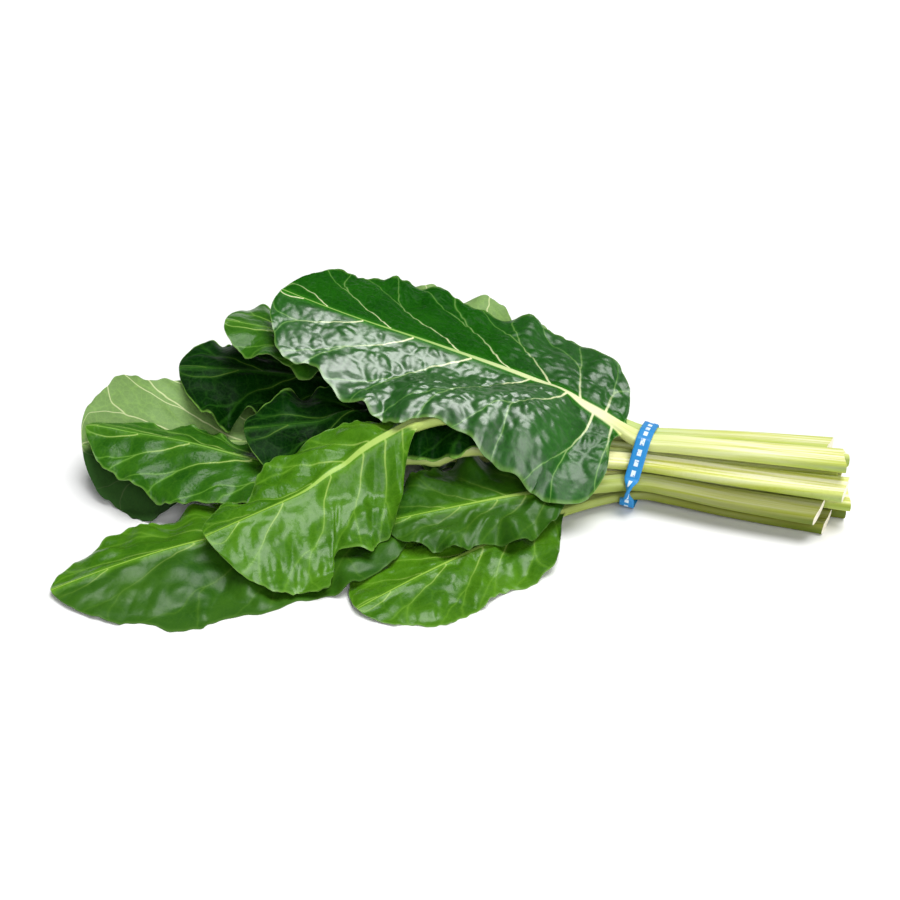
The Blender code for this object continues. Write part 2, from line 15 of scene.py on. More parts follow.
import bpy
import numpy as np
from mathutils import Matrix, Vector


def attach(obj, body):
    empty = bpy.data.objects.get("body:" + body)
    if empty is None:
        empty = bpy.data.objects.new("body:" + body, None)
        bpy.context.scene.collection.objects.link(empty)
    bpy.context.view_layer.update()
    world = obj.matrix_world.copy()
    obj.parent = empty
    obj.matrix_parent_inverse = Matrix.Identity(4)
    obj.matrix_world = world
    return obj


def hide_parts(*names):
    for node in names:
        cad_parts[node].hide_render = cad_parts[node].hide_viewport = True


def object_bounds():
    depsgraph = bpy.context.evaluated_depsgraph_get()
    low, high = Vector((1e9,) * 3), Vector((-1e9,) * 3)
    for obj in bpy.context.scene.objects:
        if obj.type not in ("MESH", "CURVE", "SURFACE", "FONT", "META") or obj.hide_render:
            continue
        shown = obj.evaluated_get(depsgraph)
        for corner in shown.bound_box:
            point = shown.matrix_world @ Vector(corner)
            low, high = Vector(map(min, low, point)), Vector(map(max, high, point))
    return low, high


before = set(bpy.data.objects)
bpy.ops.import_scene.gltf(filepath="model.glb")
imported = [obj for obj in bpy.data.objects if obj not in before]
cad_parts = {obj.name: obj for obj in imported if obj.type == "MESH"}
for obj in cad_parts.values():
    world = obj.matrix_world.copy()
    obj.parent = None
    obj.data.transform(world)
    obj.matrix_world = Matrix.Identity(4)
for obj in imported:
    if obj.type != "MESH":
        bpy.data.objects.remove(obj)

CAD_BOX = [list(corner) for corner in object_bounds()]
LOG = logging.getLogger("chard")

Array = np.ndarray
Pair = tuple[float, float]
Point = tuple[float, float, float]
Colour = tuple[float, float, float]
Wave = tuple[float, float, float, float]

MM = 0.001
BODY = "root"
SHARP = math.radians(60)
SOLIDS_CLEARANCE = 1.5


class Face(Enum):
    """Which face of a blade is turned up."""

    UPPER = 1
    UNDERSIDE = -1


class Green(Enum):
    """The name of a leaf's finish and the slot it belongs to."""

    TOP = ("top leaf", "dark_leaf")
    DARK = ("dark leaf", "dark_leaf")
    # Painted shade: the inner leaves' finish is near black, for leaves in the shadow of those
    # above.
    SHADED_INNER = ("shaded inner leaf", "dark_leaf")
    LIGHT = ("light leaf", "light_leaf")
    PALE = ("pale leaf", "pale_leaf")

    @property
    def finish(self) -> str:
        """The name of the finish."""
        return self.value[0]

    @property
    def slot(self) -> str:
        """The record's material slot."""
        return self.value[1]


# ---------------------------------------------------------------- the bunch's sizes


@dataclass(frozen=True)
class Stalks:
    """How the stalks lie in the band and fan out to their cut ends.

    Three widths or depths are those at the cut end, in the band and at the blade.
    """

    turn: float = math.radians(12)
    length: float = 128
    fan: float = 1.50
    fan_midway: float = 0.62
    beside_band: float = 22
    fan_beside_band: float = 0.12
    spread: float = 1.18
    half_width: Point = (9.2, 6.0, 5.6)
    half_depth: Point = (5.7, 5.0, 4.3)
    crown: float = 0.85
    channel: float = 0.42
    off_table: float = 3.9
    cut_reach: float = 12

    def axes(self) -> tuple[Array, Array]:
        """The stalks' ways where the band holds them.

        Returns:
            Their direction, and the way across them towards the back.
        """
        along = np.array([math.cos(self.turn), -math.sin(self.turn), 0])
        across = np.array([math.sin(self.turn), math.cos(self.turn), 0])
        return along, across

    def in_band(self, slot: Pair) -> Array:
        """The point in the band's plane that a slot names."""
        return self.axes()[1] * slot[0] + np.array([0, 0, slot[1]])


@dataclass(frozen=True)
class Blade:
    """What every blade has in common. A pair is a value at the base and one at the tip."""

    thickness: float = 0.9
    rib_half_width: Pair = (5.6, 0.8)
    rib_taper: float = 0.5
    tip_half_width: float = 1.4
    notch_width: float = 0.065
    keel: Pair = (4.6, 0.4)
    keel_taper: float = 0.7
    rib_rise: float = 0.7
    blend_before: float = 4
    blend_length: float = 26
    rib_column: float = 0.2
    far_side_lag: float = 1.9
    second_wave: float = 0.45
    second_rate: float = 1.73
    wave_begins: float = 0.14
    tip_calm: float = 0.55


STALKS = Stalks()
BLADE = Blade()


@dataclass(frozen=True)
class LeafPlan:
    """One leaf. Angles are degrees, and a pair holds the blade's near and far halves.

    The slot is the stalk's place in the band, across and up, and the reach is the midrib's
    course from there. The three slopes are those at the blade's base, middle and tip. The
    shade darkens the stalk and the two halves; it is painted shade, darker where less light
    reaches them. Each half's notch is a place and a depth.
    """

    name: str
    slot: Pair
    reach: tuple[Point, ...]
    blade_from: float
    half_width: Pair
    near_slope: Point
    far_slope: Point
    curl: Pair = (0, 0)
    ruffle: Pair = (6.0, 6.0)
    wave: float = 54.0
    phase: float = 0.0
    stalk_more: float = 0.0
    stalk_roll: float = 0.0
    cut_slant: float = 0.0
    widest: Pair = (0.33, 0.33)
    blunt: Pair = (0.7, 0.7)
    lobe: Pair = (5, 5)
    sweep: float = 0.16
    notch: tuple[Pair, Pair] = ((0.5, 0), (0.5, 0))
    green: Green = Green.DARK
    face: Face = Face.UPPER
    veins: Pair = (7.0, 7.0)
    painted_shade: Point = (0, 0, 0)
    blade_rows: int = 165
    half_columns: int = 34


LEAVES = (
    LeafPlan(
        "leaf_01_front_low", slot=(-13, 8.5), green=Green.LIGHT,
        reach=((-50, -34, 10), (-94, -68, 9), (-142, -104, 7), (-180, -134, 4)),
        blade_from=58, half_width=(46, 46), widest=(0.4, 0.4), blunt=(0.6, 0.6),
        notch=((0.34, 0.2), (0.5, 0)),
        near_slope=(-4, -6, -8), far_slope=(4, 2, -6), curl=(-8, -12), ruffle=(6, 5), wave=46,
        phase=0.8,
        stalk_more=-6, stalk_roll=16, cut_slant=0.25, painted_shade=(0.9, 0, 0),
    ),
    LeafPlan(
        "leaf_02_front_long", slot=(0, 8.5), green=Green.LIGHT,
        reach=((-60, -8, 10), (-125, -26, 12), (-190, -48, 14), (-250, -68, 15),
               (-303, -88, 13), (-366, -116, 4)),
        blade_from=150, half_width=(70, 42), widest=(0.4, 0.42), blunt=(0.7, 0.75),
        lobe=(20, 5),
        near_slope=(-6, -14, -6), far_slope=(4, -2, -4), curl=(-6, -10), ruffle=(6, 5),
        wave=52, phase=2.1,
        stalk_more=4, cut_slant=-0.2, painted_shade=(0.95, 0.6, 0.1),
    ),
    LeafPlan(
        "leaf_03_back_low", slot=(13, 8.5),
        reach=((-55, 28, 8), (-115, 56, 6.5), (-175, 86, 6), (-236, 108, 4)),
        blade_from=80, half_width=(54, 54), widest=(0.4, 0.4), blunt=(0.6, 0.6),
        notch=((0.5, 0), (0.42, 0.2)),
        near_slope=(8, 4, 0), far_slope=(-8, -12, -8), curl=(-6, -6), ruffle=(6, 7), wave=50,
        phase=4.0,
        stalk_more=-3, stalk_roll=-16, cut_slant=0.2, painted_shade=(0.9, 0, 0),
    ),
    LeafPlan(
        "leaf_04_front_small", slot=(-19.5, 19.4), green=Green.LIGHT,
        reach=((-45, -30, 22), (-82, -42, 24), (-126, -54, 22), (-166, -63, 18)),
        blade_from=44, half_width=(38, 44), widest=(0.36, 0.36), blunt=(0.55, 0.55),
        near_slope=(-12, -20, -12), far_slope=(16, 12, 4), curl=(-10, -10), ruffle=(8, 7),
        wave=36, phase=1.2,
        stalk_more=-12, stalk_roll=20, cut_slant=0.3, painted_shade=(0.8, 0.6, 0.6),
    ),
    LeafPlan(
        "leaf_05_left_raised", slot=(6.5, 19.4), green=Green.PALE, face=Face.UNDERSIDE,
        reach=((-80, 12, 19), (-160, 17, 20), (-240, 22, 23), (-310, 22, 25), (-368, 14, 26)),
        blade_from=150, half_width=(68, 46), widest=(0.5, 0.62), blunt=(0.5, 0.4),
        near_slope=(-4, -14, -30), far_slope=(6, 18, 58), curl=(-14, 10), ruffle=(4, 4),
        wave=58, phase=0.4,
        stalk_roll=-8, cut_slant=0.2, painted_shade=(0.3, 1.0, 0),
    ),
    LeafPlan(
        "leaf_06_left", slot=(-6.5, 19.4),
        reach=((-80, -12, 22), (-190, -20, 24), (-250, -10, 30), (-305, 4, 37), (-364, 16, 38)),
        blade_from=166, half_width=(46, 24), widest=(0.45, 0.4), blunt=(0.75, 0.7),
        near_slope=(-12, -20, -18), far_slope=(10, -10, -20), curl=(-8, 0), ruffle=(6, 4),
        wave=44, phase=3.3,
        stalk_more=6, stalk_roll=8, cut_slant=-0.2,
    ),
    LeafPlan(
        "leaf_07_back_dark", slot=(19.5, 19.4), green=Green.SHADED_INNER,
        reach=((-60, 36, 26), (-130, 54, 35), (-200, 64, 46), (-260, 67, 53), (-308, 64, 57)),
        blade_from=110, half_width=(62, 54), widest=(0.42, 0.4), blunt=(0.5, 0.5),
        notch=((0.62, 0.3), (0.66, 0.3)),
        near_slope=(-6, -16, -16), far_slope=(20, 12, 0), curl=(-8, -12), ruffle=(12, 11),
        wave=38, phase=5.0,
        stalk_more=-8, stalk_roll=-20, cut_slant=0.25,
    ),
    LeafPlan(
        "leaf_08_inner_dark", slot=(0, 30.3), green=Green.SHADED_INNER,
        reach=((-92, 12, 37), (-161, 14, 45), (-210, 6, 49), (-258, -2, 48)),
        blade_from=66, half_width=(56, 36), widest=(0.4, 0.4), blunt=(0.5, 0.5),
        near_slope=(-22, -36, -18), far_slope=(16, 14, 10), curl=(-8, -6), ruffle=(7, 11),
        wave=36, phase=1.9,
        stalk_more=-4, cut_slant=-0.2,
    ),
    LeafPlan(
        "leaf_09_front_light", slot=(-13, 30.3), green=Green.LIGHT,
        reach=((-60, -13, 35), (-131, -12, 38), (-180, -32, 38), (-230, -66, 34),
               (-274, -92, 27)),
        blade_from=146, half_width=(71, 34), widest=(0.46, 0.4), blunt=(0.7, 0.55),
        lobe=(0, 8), notch=((0.4, 0.34), (0.6, 0.5)),
        near_slope=(-20, -30, -20), far_slope=(-4, -6, -4), curl=(-10, -8), ruffle=(6, 4),
        phase=2.6,
        stalk_more=3, stalk_roll=16, cut_slant=0.2, blade_rows=190, half_columns=40,
    ),
    LeafPlan(
        "leaf_10_back_left", slot=(13, 30.3),
        reach=((-60, 27, 43), (-130, 50, 58), (-200, 66, 74), (-276, 76, 87)),
        blade_from=96, half_width=(40, 50), widest=(0.4, 0.4), blunt=(0.45, 0.45),
        notch=((0.6, 0.25), (0.72, 0.3)),
        near_slope=(-8, -10, -8), far_slope=(4, 0, -6), curl=(-8, -16), ruffle=(11, 9),
        wave=42, phase=4.4,
        stalk_more=2, stalk_roll=-16, cut_slant=-0.25,
    ),
    LeafPlan(
        "leaf_11_back_top", slot=(6.5, 41.0), green=Green.PALE, face=Face.UNDERSIDE,
        reach=((-40, 32, 48), (-84, 60, 60), (-136, 86, 73), (-188, 103, 81)),
        blade_from=32, half_width=(38, 46), widest=(0.3, 0.4), blunt=(0.6, 0.5),
        near_slope=(-10, -6, -6), far_slope=(0, 12, 10), curl=(-8, -10), ruffle=(9, 8),
        wave=42,
        stalk_more=-9, stalk_roll=-8, cut_slant=0.25,
    ),
    LeafPlan(
        "leaf_12_top", slot=(-6.5, 43.2), green=Green.TOP,
        reach=((-30, 10, 55), (-66, 28, 66), (-132, 49, 82), (-190, 64, 96), (-238, 88, 104)),
        blade_from=12, half_width=(82, 67), widest=(0.25, 0.48), blunt=(0.48, 0.42),
        lobe=(46, 16), sweep=0.12, notch=((0.7, 0.14), (0, 0.3)),
        near_slope=(-30, -22, -16), far_slope=(24, 0, 10), curl=(-10, -8), ruffle=(3, 4),
        wave=50, phase=3.7,
        stalk_roll=8, cut_slant=-0.2, veins=(8.5, 8.5), painted_shade=(0, 0, 0.25), blade_rows=240,
        half_columns=80,
    ),
)


# ---------------------------------------------------------------- curves and fields


def smooth_step(low: float | Array, high: float | Array, value: float | Array) -> Array:
    """0 below low, 1 above high, and smooth between."""
    t = np.clip((np.asarray(value, float) - low) / (high - low), 0, 1)
    return t * t * (3 - 2 * t)


def from_ends(values: Pair, share: Array) -> Array:
    """A value that changes evenly from the first to the second."""
    return values[0] + (values[1] - values[0]) * share


def smooth_curve(points: Array, samples: int) -> Array:
    """A smooth line through points.

    Args:
        points: The points, one a row.
        samples: How many points each span gets.

    Returns:
        The line's points, one a row.
    """
    points = np.asarray(points, float)
    chord = np.linalg.norm(np.diff(points, axis=0), axis=1)
    knots = np.concatenate([[0], np.cumsum(np.sqrt(chord))])
    tangents = np.gradient(points, knots, axis=0, edge_order=2)
    line = []
    for i in range(len(points) - 1):
        span = knots[i + 1] - knots[i]
        t = np.linspace(0, 1, samples, endpoint=False)[:, None]
        line.append(
            (2 * t**3 - 3 * t**2 + 1) * points[i]
            + (t**3 - 2 * t**2 + t) * span * tangents[i]
            + (3 * t**2 - 2 * t**3) * points[i + 1]
            + (t**3 - t**2) * span * tangents[i + 1]
        )
    line.append(points[-1:])
    return np.concatenate(line)


def near_cells(values: Array, cells: int, combine: Callable[..., Array]) -> Array:
    """Each value combined with those within some cells of it, along each axis in turn.

    Args:
        values: The field.
        cells: How far to look.
        combine: np.max or np.mean.

    Returns:
        The new field.
    """
    for axis in (0, 1):
        around = [(cells, cells) if k == axis else (0, 0) for k in (0, 1)]
        padded = np.pad(values, around, "edge")
        size = values.shape[axis]
        shifted = [np.take(padded, range(k, k + size), axis=axis) for k in range(2 * cells + 1)]
        values = combine(shifted, axis=0)
    return values


class Scatter:
    """Cells grown round points scattered in the plane, as between the smallest veins."""

    PERIOD = 64
    SHIFT = (0.12, 0.88)
    SWELL = (0.45, 1.0)

    def __init__(self, size: float, seed: int) -> None:
        """Args:
            size: The cells' width.
            seed: What the scatter is drawn from.
        """
        self.size = size
        draw = np.random.default_rng(seed)
        self.shift = draw.uniform(*self.SHIFT, (self.PERIOD, self.PERIOD, 2))
        self.swell = draw.uniform(*self.SWELL, (self.PERIOD, self.PERIOD))

    def read(self, x: Array, y: Array) -> tuple[Array, Array]:
        """How far places are inside their cells.

        Args:
            x: The places' first coordinate.
            y: Their second.

        Returns:
            0 on a cell's border and about 1 at its middle, and each cell's own swelling.
        """
        x, y = x / self.size, y / self.size
        home = np.floor(x).astype(int), np.floor(y).astype(int)
        first = np.full(x.shape, np.inf)
        second = np.full(x.shape, np.inf)
        swell = np.zeros(x.shape)
        for i in (-1, 0, 1):
            for j in (-1, 0, 1):
                a, b = (home[0] + i) % self.PERIOD, (home[1] + j) % self.PERIOD
                far = np.hypot(
                    home[0] + i + self.shift[a, b, 0] - x,
                    home[1] + j + self.shift[a, b, 1] - y,
                )
                closer = far < first
                second = np.where(closer, first, np.minimum(second, far))
                swell = np.where(closer, self.swell[a, b], swell)
                first = np.where(closer, far, first)
        return second - first, swell


def soft_noise(x: Array, y: Array, seed: float, waves: int = 5) -> Array:
    """A smooth uneven field, made of a few crossing waves.

    Args:
        x: The places' first coordinate.
        y: Their second.
        seed: What the waves are drawn from.
        waves: How many waves there are.

    Returns:
        A value from -1 to 1 at each place.
    """
    total = np.zeros(np.broadcast(x, y).shape)
    for i in range(waves):
        way = seed + 2.4 * i
        rate = 1 + 0.37 * i
        run = x * math.cos(way) + y * math.sin(way)
        total = total + np.sin(rate * run + 3.1 * seed * (i + 1))
    return total / waves


# ---------------------------------------------------------------- a leaf's form


class Midrib:
    """A leaf's centre line, measured from the cut end, with a frame at each place."""

    SAMPLES = 48
    SPANS_TO_BAND = 3

    def __init__(self, plan: LeafPlan) -> None:
        """Args:
            plan: The leaf.
        """
        line = smooth_curve(self.points(plan), self.SAMPLES)
        step = np.linalg.norm(np.diff(line, axis=0), axis=1)
        self.place = np.concatenate([[0], np.cumsum(step)])
        self.line = line
        self.length = self.place[-1]
        self.band = self.place[self.SPANS_TO_BAND * self.SAMPLES]
        self.blade = self.band + plan.blade_from
        self.forward = np.gradient(line, self.place, axis=0)
        self.forward /= np.linalg.norm(self.forward, axis=1)[:, None]
        side = self.carried(np.array([0.0, -1.0, 0.0]))
        held = 1 - smooth_step(self.band, self.blade, self.place)
        roll = np.radians(plan.stalk_roll) * held
        up = np.cross(self.forward, side)
        self.side = side * np.cos(roll)[:, None] - up * np.sin(roll)[:, None]
        self.up = np.cross(self.forward, self.side)

    @staticmethod
    def points(plan: LeafPlan) -> Array:
        """The midrib's points, from the cut end through the band to the tip.

        Args:
            plan: The leaf.

        Returns:
            The points, one a row.
        """
        along, across = STALKS.axes()
        centre = STALKS.in_band(plan.slot)
        length = STALKS.length + plan.stalk_more
        fan = across * plan.slot[0] * (STALKS.fan - 1)
        cut_end = centre + along * length + fan
        cut_end[2] = (plan.slot[1] - STALKS.off_table) * STALKS.spread
        middle = centre + along * length * 0.5 + fan * STALKS.fan_midway
        middle[2] = (plan.slot[1] + cut_end[2]) / 2
        beside = centre + along * STALKS.beside_band + fan * STALKS.fan_beside_band
        return np.array([cut_end, middle, beside, centre, *plan.reach], float)

    def carried(self, side: Array) -> Array:
        """A side direction, carried along the line with as little turning as possible.

        Args:
            side: The direction at the cut end.

        Returns:
            The direction at each place of the line.
        """
        sides = []
        for forward in self.forward:
            side = side - forward * (side @ forward)
            side = side / np.linalg.norm(side)
            sides.append(side)
        return np.array(sides)

    def at(self, place: Array, values: Array) -> Array:
        """One of this midrib's rows of vectors, read at any places along it.

        Args:
            place: The places.
            values: The vectors, one a row.

        Returns:
            A vector for each place.
        """
        inside = np.clip(place, 0, self.length)
        read = [np.interp(inside, self.place, column) for column in values.T]
        return np.stack(read, axis=-1)

    def point(self, place: Array) -> Array:
        """Points of the line, which runs straight on past both its ends."""
        beyond = place - np.clip(place, 0, self.length)
        return self.at(place, self.line) + self.at(place, self.forward) * beyond[..., None]


@dataclass
class Skin:
    """A leaf's two skins on a grid of stations and columns, and what its finish reads there."""

    upper: Array
    lower: Array
    marks: dict[str, Array] = field(default_factory=dict)

    def lift(self, rise: Array) -> None:
        """Raises both skins."""
        self.upper[..., 2] += rise
        self.lower[..., 2] += rise

    def points(self) -> Array:
        """The points of the upper skin and then those of the lower one."""
        return np.concatenate([self.upper, self.lower]).reshape(-1, 3)

    def sheets(self) -> tuple[Array, Array]:
        """Both skins."""
        return self.upper, self.lower


@dataclass
class Flat:
    """A leaf laid out flat, for each place of a grid of stations and columns.

    It says how far through the blade a place is, how far from rib to margin, where it is along
    the midrib and out from it, how far its two skins are above and below its middle, how much
    it belongs to the blade rather than the stalk, and how far its small forms raise it.
    """

    through: Array
    outer: Array
    along: Array
    out: Array
    rise: Array
    drop: Array
    into_blade: Array
    bulge: Array | float = 0.0


class LeafForm:
    """The loft of one leaf: its stations, its flat outline and its bends."""

    COARSE_STATIONS = 24
    COARSE_COLUMNS = 5
    EVENNESS = 0.55
    TIP_CROWDING = 1.12
    BESIDE_BAND = 16
    COARSE_STEP = 30
    LEAST_STEP = 2
    STALK_STEP = 5.0
    RIB_COLUMNS = 6
    SCALLOPS = ((0.045, 18, 1, 2), (0.03, 33, 3, 1))
    FINE_SCALLOPS = ((0.014, 71, 5, 4), (0.009, 127, 1, 2))
    LOBE_REACH = 0.45
    LOBE_BEGINS = 0.06
    LEAST_CURL = 1e-3

    def __init__(self, plan: LeafPlan) -> None:
        """Args:
            plan: The leaf.
        """
        self.plan = plan
        self.rib = Midrib(plan)
        self.blade = self.rib.length - self.rib.blade

    def blade_stations(self, count: int) -> tuple[Array, Array]:
        """The blade's sections, which are closer together near its ends.

        Args:
            count: How many there are.

        Returns:
            Where each starts on the midrib, and how far through the blade it is.
        """
        even = np.linspace(0, 1, count)
        eased = (1 - np.cos(np.pi * even)) / 2
        through = self.EVENNESS * even + (1 - self.EVENNESS) * eased
        return self.rib.blade + self.blade * through**self.TIP_CROWDING, through

    def coarse_stations(self) -> tuple[Array, Array]:
        """The solid's sections.

        Returns:
            Where each starts on the midrib, and how far through the blade it is.
        """
        rib = self.rib
        before = [0, rib.band / 2, rib.band - self.BESIDE_BAND, rib.band,
                  rib.band + self.BESIDE_BAND]
        gap = rib.blade - before[-1]
        extra = max(0, round(gap / self.COARSE_STEP) - 1)
        before += [before[-1] + gap * (i + 1) / (extra + 1) for i in range(extra)]
        if before[-1] > rib.blade - self.LEAST_STEP:
            before.pop()
        start, through = self.blade_stations(self.COARSE_STATIONS)
        return np.concatenate([before, start]), np.concatenate([np.zeros(len(before)), through])

    def fine_stations(self) -> tuple[Array, Array]:
        """The sections of the shown leaf.

        Returns:
            Where each starts on the midrib, and how far through the blade it is.
        """
        count = round(self.rib.blade / self.STALK_STEP)
        before = np.linspace(0, self.rib.blade, count, endpoint=False)
        start, through = self.blade_stations(self.plan.blade_rows)
        return np.concatenate([before, start]), np.concatenate([np.zeros(count), through])

    def fine_columns(self) -> Array:
        """The columns of the shown leaf.

        Returns:
            Their places, from -1 at the far margin to 1 at the near one.
        """
        edge = BLADE.rib_column
        half = np.concatenate([
            np.linspace(0, edge, self.RIB_COLUMNS, endpoint=False),
            np.linspace(edge, 1, self.plan.half_columns + 1),
        ])
        return np.concatenate([-half[:0:-1], half])

    def outline(self, through: Array, near: Array, fine: bool) -> tuple[Array, Array]:
        """The blade's margin for each station.

        Args:
            through: How far through the blade the station is.
            near: True on the near half.
            fine: Whether the margin has its small scallops.

        Returns:
            How far along the midrib the margin is, and how far out.
        """
        plan = self.plan
        width, widest, blunt, lobe = (
            np.where(near, *pair)
            for pair in (plan.half_width, plan.widest, plan.blunt, plan.lobe)
        )
        early = through ** (math.log(0.5) / np.log(widest))
        shape = np.clip(np.sin(np.pi * early), 0, 1) ** blunt
        shape = shape * self.scalloped(self.SCALLOPS, through, near)
        for half, (place, depth) in zip((near, ~near), plan.notch):
            drawn_in = depth * np.exp(-(((through - place) / BLADE.notch_width) ** 2))
            shape = shape * (1 - np.where(half, drawn_in, 0))
        if fine:
            shape = shape * self.scalloped(self.FINE_SCALLOPS, through, near)
        along = self.rib.blade + self.blade * (through + plan.sweep * np.sin(np.pi * through))
        reach_back = 1 - smooth_step(0, self.LOBE_REACH, through)
        reach_back = reach_back * smooth_step(0, self.LOBE_BEGINS, through)
        base = from_ends((BLADE.rib_half_width[0], BLADE.tip_half_width), through)
        return along - lobe * reach_back, base + (width - base) * np.maximum(shape, 0)

    def scalloped(self, waves: tuple[Wave, ...], through: Array, near: Array) -> Array:
        """How much wider than even the margin is.

        Args:
            waves: Each wave's depth, its rate, and how far the leaf and the half shift it.
            through: How far through the blade the station is.
            near: True on the near half.

        Returns:
            What the even width is multiplied by.
        """
        share = 1
        for depth, rate, by_leaf, by_half in waves:
            shift = by_leaf * self.plan.phase
            share = share + depth * np.sin(through * rate + shift + by_half * near)
        return share

    def flat(self, start: Array, through: Array, column: Array, fine: bool) -> Flat:
        """The leaf laid out flat.

        Args:
            start: Where each station starts on the midrib.
            through: How far through the blade each is.
            column: The columns, from -1 at the far margin to 1 at the near one.
            fine: Whether small forms are added.

        Returns:
            The flat leaf.
        """
        start, through = start[:, None], through[:, None]
        column = column[None, :]
        margin_along, margin_out = self.outline(through, column > 0, fine)
        marks = [0, self.rib.band, self.rib.blade]
        half_width = np.interp(start, marks, STALKS.half_width)
        half_depth = np.interp(start, marks, STALKS.half_depth)
        in_rib = from_ends(BLADE.rib_half_width, through**BLADE.rib_taper)
        rib_half = np.where(start < self.rib.blade, half_width, in_rib)
        blend = (self.rib.blade - BLADE.blend_before, self.rib.blade + BLADE.blend_length)
        into_blade = smooth_step(*blend, start)

        size = np.abs(column)
        outer = np.clip((size - BLADE.rib_column) / (1 - BLADE.rib_column), 0, 1)
        on_rib = rib_half * np.minimum(size / BLADE.rib_column, 1)
        in_blade = on_rib + (margin_out - rib_half) * outer
        in_stalk = half_width * np.sin(np.pi / 2 * size)
        out = in_stalk + (in_blade - in_stalk) * into_blade
        along = start + (margin_along - start) * outer * into_blade
        near_cut = np.where(start <= 0, 1, 0)
        if fine:
            near_cut = np.clip(1 - start / STALKS.cut_reach, 0, 1)
        along = along + near_cut * self.plan.cut_slant * out * np.sign(column)

        across = np.clip(out / rib_half, 0, 1)
        round_part = np.sqrt(np.clip(1 - across**2, 0, 1))
        channel = STALKS.channel * (1 - across**2) ** 2
        crown = STALKS.crown * np.sqrt(np.clip(1 - across**3, 0, 1))
        stalk_rise = half_depth * (crown - channel)
        rib_rise = BLADE.rib_rise * (1 - through) * round_part
        rise = stalk_rise + (rib_rise - stalk_rise) * into_blade
        keel = from_ends(BLADE.keel, through**BLADE.keel_taper) * round_part
        stalk_drop = half_depth * round_part
        drop = stalk_drop + (keel - stalk_drop) * into_blade
        skin = BLADE.thickness / 2
        through, outer, into_blade = (
            np.broadcast_to(v, out.shape) for v in (through, outer, into_blade)
        )
        signed = out * np.sign(column)
        return Flat(through, outer, along, signed, rise + skin, drop + skin, into_blade)

    def bent(self, flat: Flat) -> Skin:
        """The flat leaf brought to its shape in space.

        Args:
            flat: The flat leaf.

        Returns:
            Its two skins.
        """
        plan, rib = self.plan, self.rib
        share = np.clip((flat.along - rib.blade) / self.blade, 0, 1)
        near = flat.out > 0
        side = np.where(near, 1.0, -1.0)
        width = np.where(near, *plan.half_width)
        rib_half = from_ends(BLADE.rib_half_width, share**BLADE.rib_taper)
        inner = np.minimum(np.abs(flat.out), rib_half)
        over = np.abs(flat.out) - inner

        slopes = (self.slope(of_half, share) for of_half in (plan.near_slope, plan.far_slope))
        slope = np.radians(np.where(near, *slopes)) * flat.into_blade
        curl = np.radians(np.where(near, *plan.curl)) * flat.into_blade
        curl = np.where(np.abs(curl) < self.LEAST_CURL, self.LEAST_CURL, curl)
        end = slope + curl * over / width
        sideways = inner + width / curl * (np.sin(end) - np.sin(slope))
        height = width / curl * (np.cos(slope) - np.cos(end))

        turn = 2 * np.pi * flat.along / plan.wave + plan.phase + BLADE.far_side_lag * near
        second = np.sin(BLADE.second_rate * turn + 2 * plan.phase)
        wave = np.sin(turn) + BLADE.second_wave * second
        fade = smooth_step(0, BLADE.wave_begins, share) * (1 - BLADE.tip_calm * share**4)
        ruffle = np.where(near, *plan.ruffle)
        ripple = ruffle * (over / width) ** 2 * wave * fade + flat.bulge

        sides, ups = rib.at(flat.along, rib.side), rib.at(flat.along, rib.up)
        tilt = np.where(over > 0, end, 0.0)
        normal = (
            -np.sin(tilt)[..., None] * side[..., None] * sides + np.cos(tilt)[..., None] * ups
        )
        middle = rib.point(flat.along) + (side * sideways)[..., None] * sides
        middle = middle + height[..., None] * ups + ripple[..., None] * normal
        upper = middle + flat.rise[..., None] * normal
        return Skin(upper, middle - flat.drop[..., None] * normal)

    @staticmethod
    def slope(slopes: Point, share: Array) -> Array:
        """The smooth curve through a slope's three values.

        Args:
            slopes: The slopes at the blade's base, middle and tip.
            share: How far through the blade each place is.

        Returns:
            The slope at each place.
        """
        base, middle, tip = slopes
        return (
            base * (1 - share) * (1 - 2 * share)
            + middle * 4 * share * (1 - share)
            + tip * share * (2 * share - 1)
        )

    def coarse(self) -> Skin:
        """The leaf as its solid has it, before it is laid on others."""
        column = np.linspace(-1, 1, 2 * self.COARSE_COLUMNS + 1)
        return self.bent(self.flat(*self.coarse_stations(), column, fine=False))

    def fine(self, relief: "Relief") -> Skin:
        """The leaf with its small forms, before it is laid on others.

        Args:
            relief: Its small forms.

        Returns:
            The leaf, with what its finish reads.
        """
        flat = self.flat(*self.fine_stations(), self.fine_columns(), fine=True)
        marks = relief.shape(self, flat)
        skin = self.bent(flat)
        skin.marks = marks
        return skin


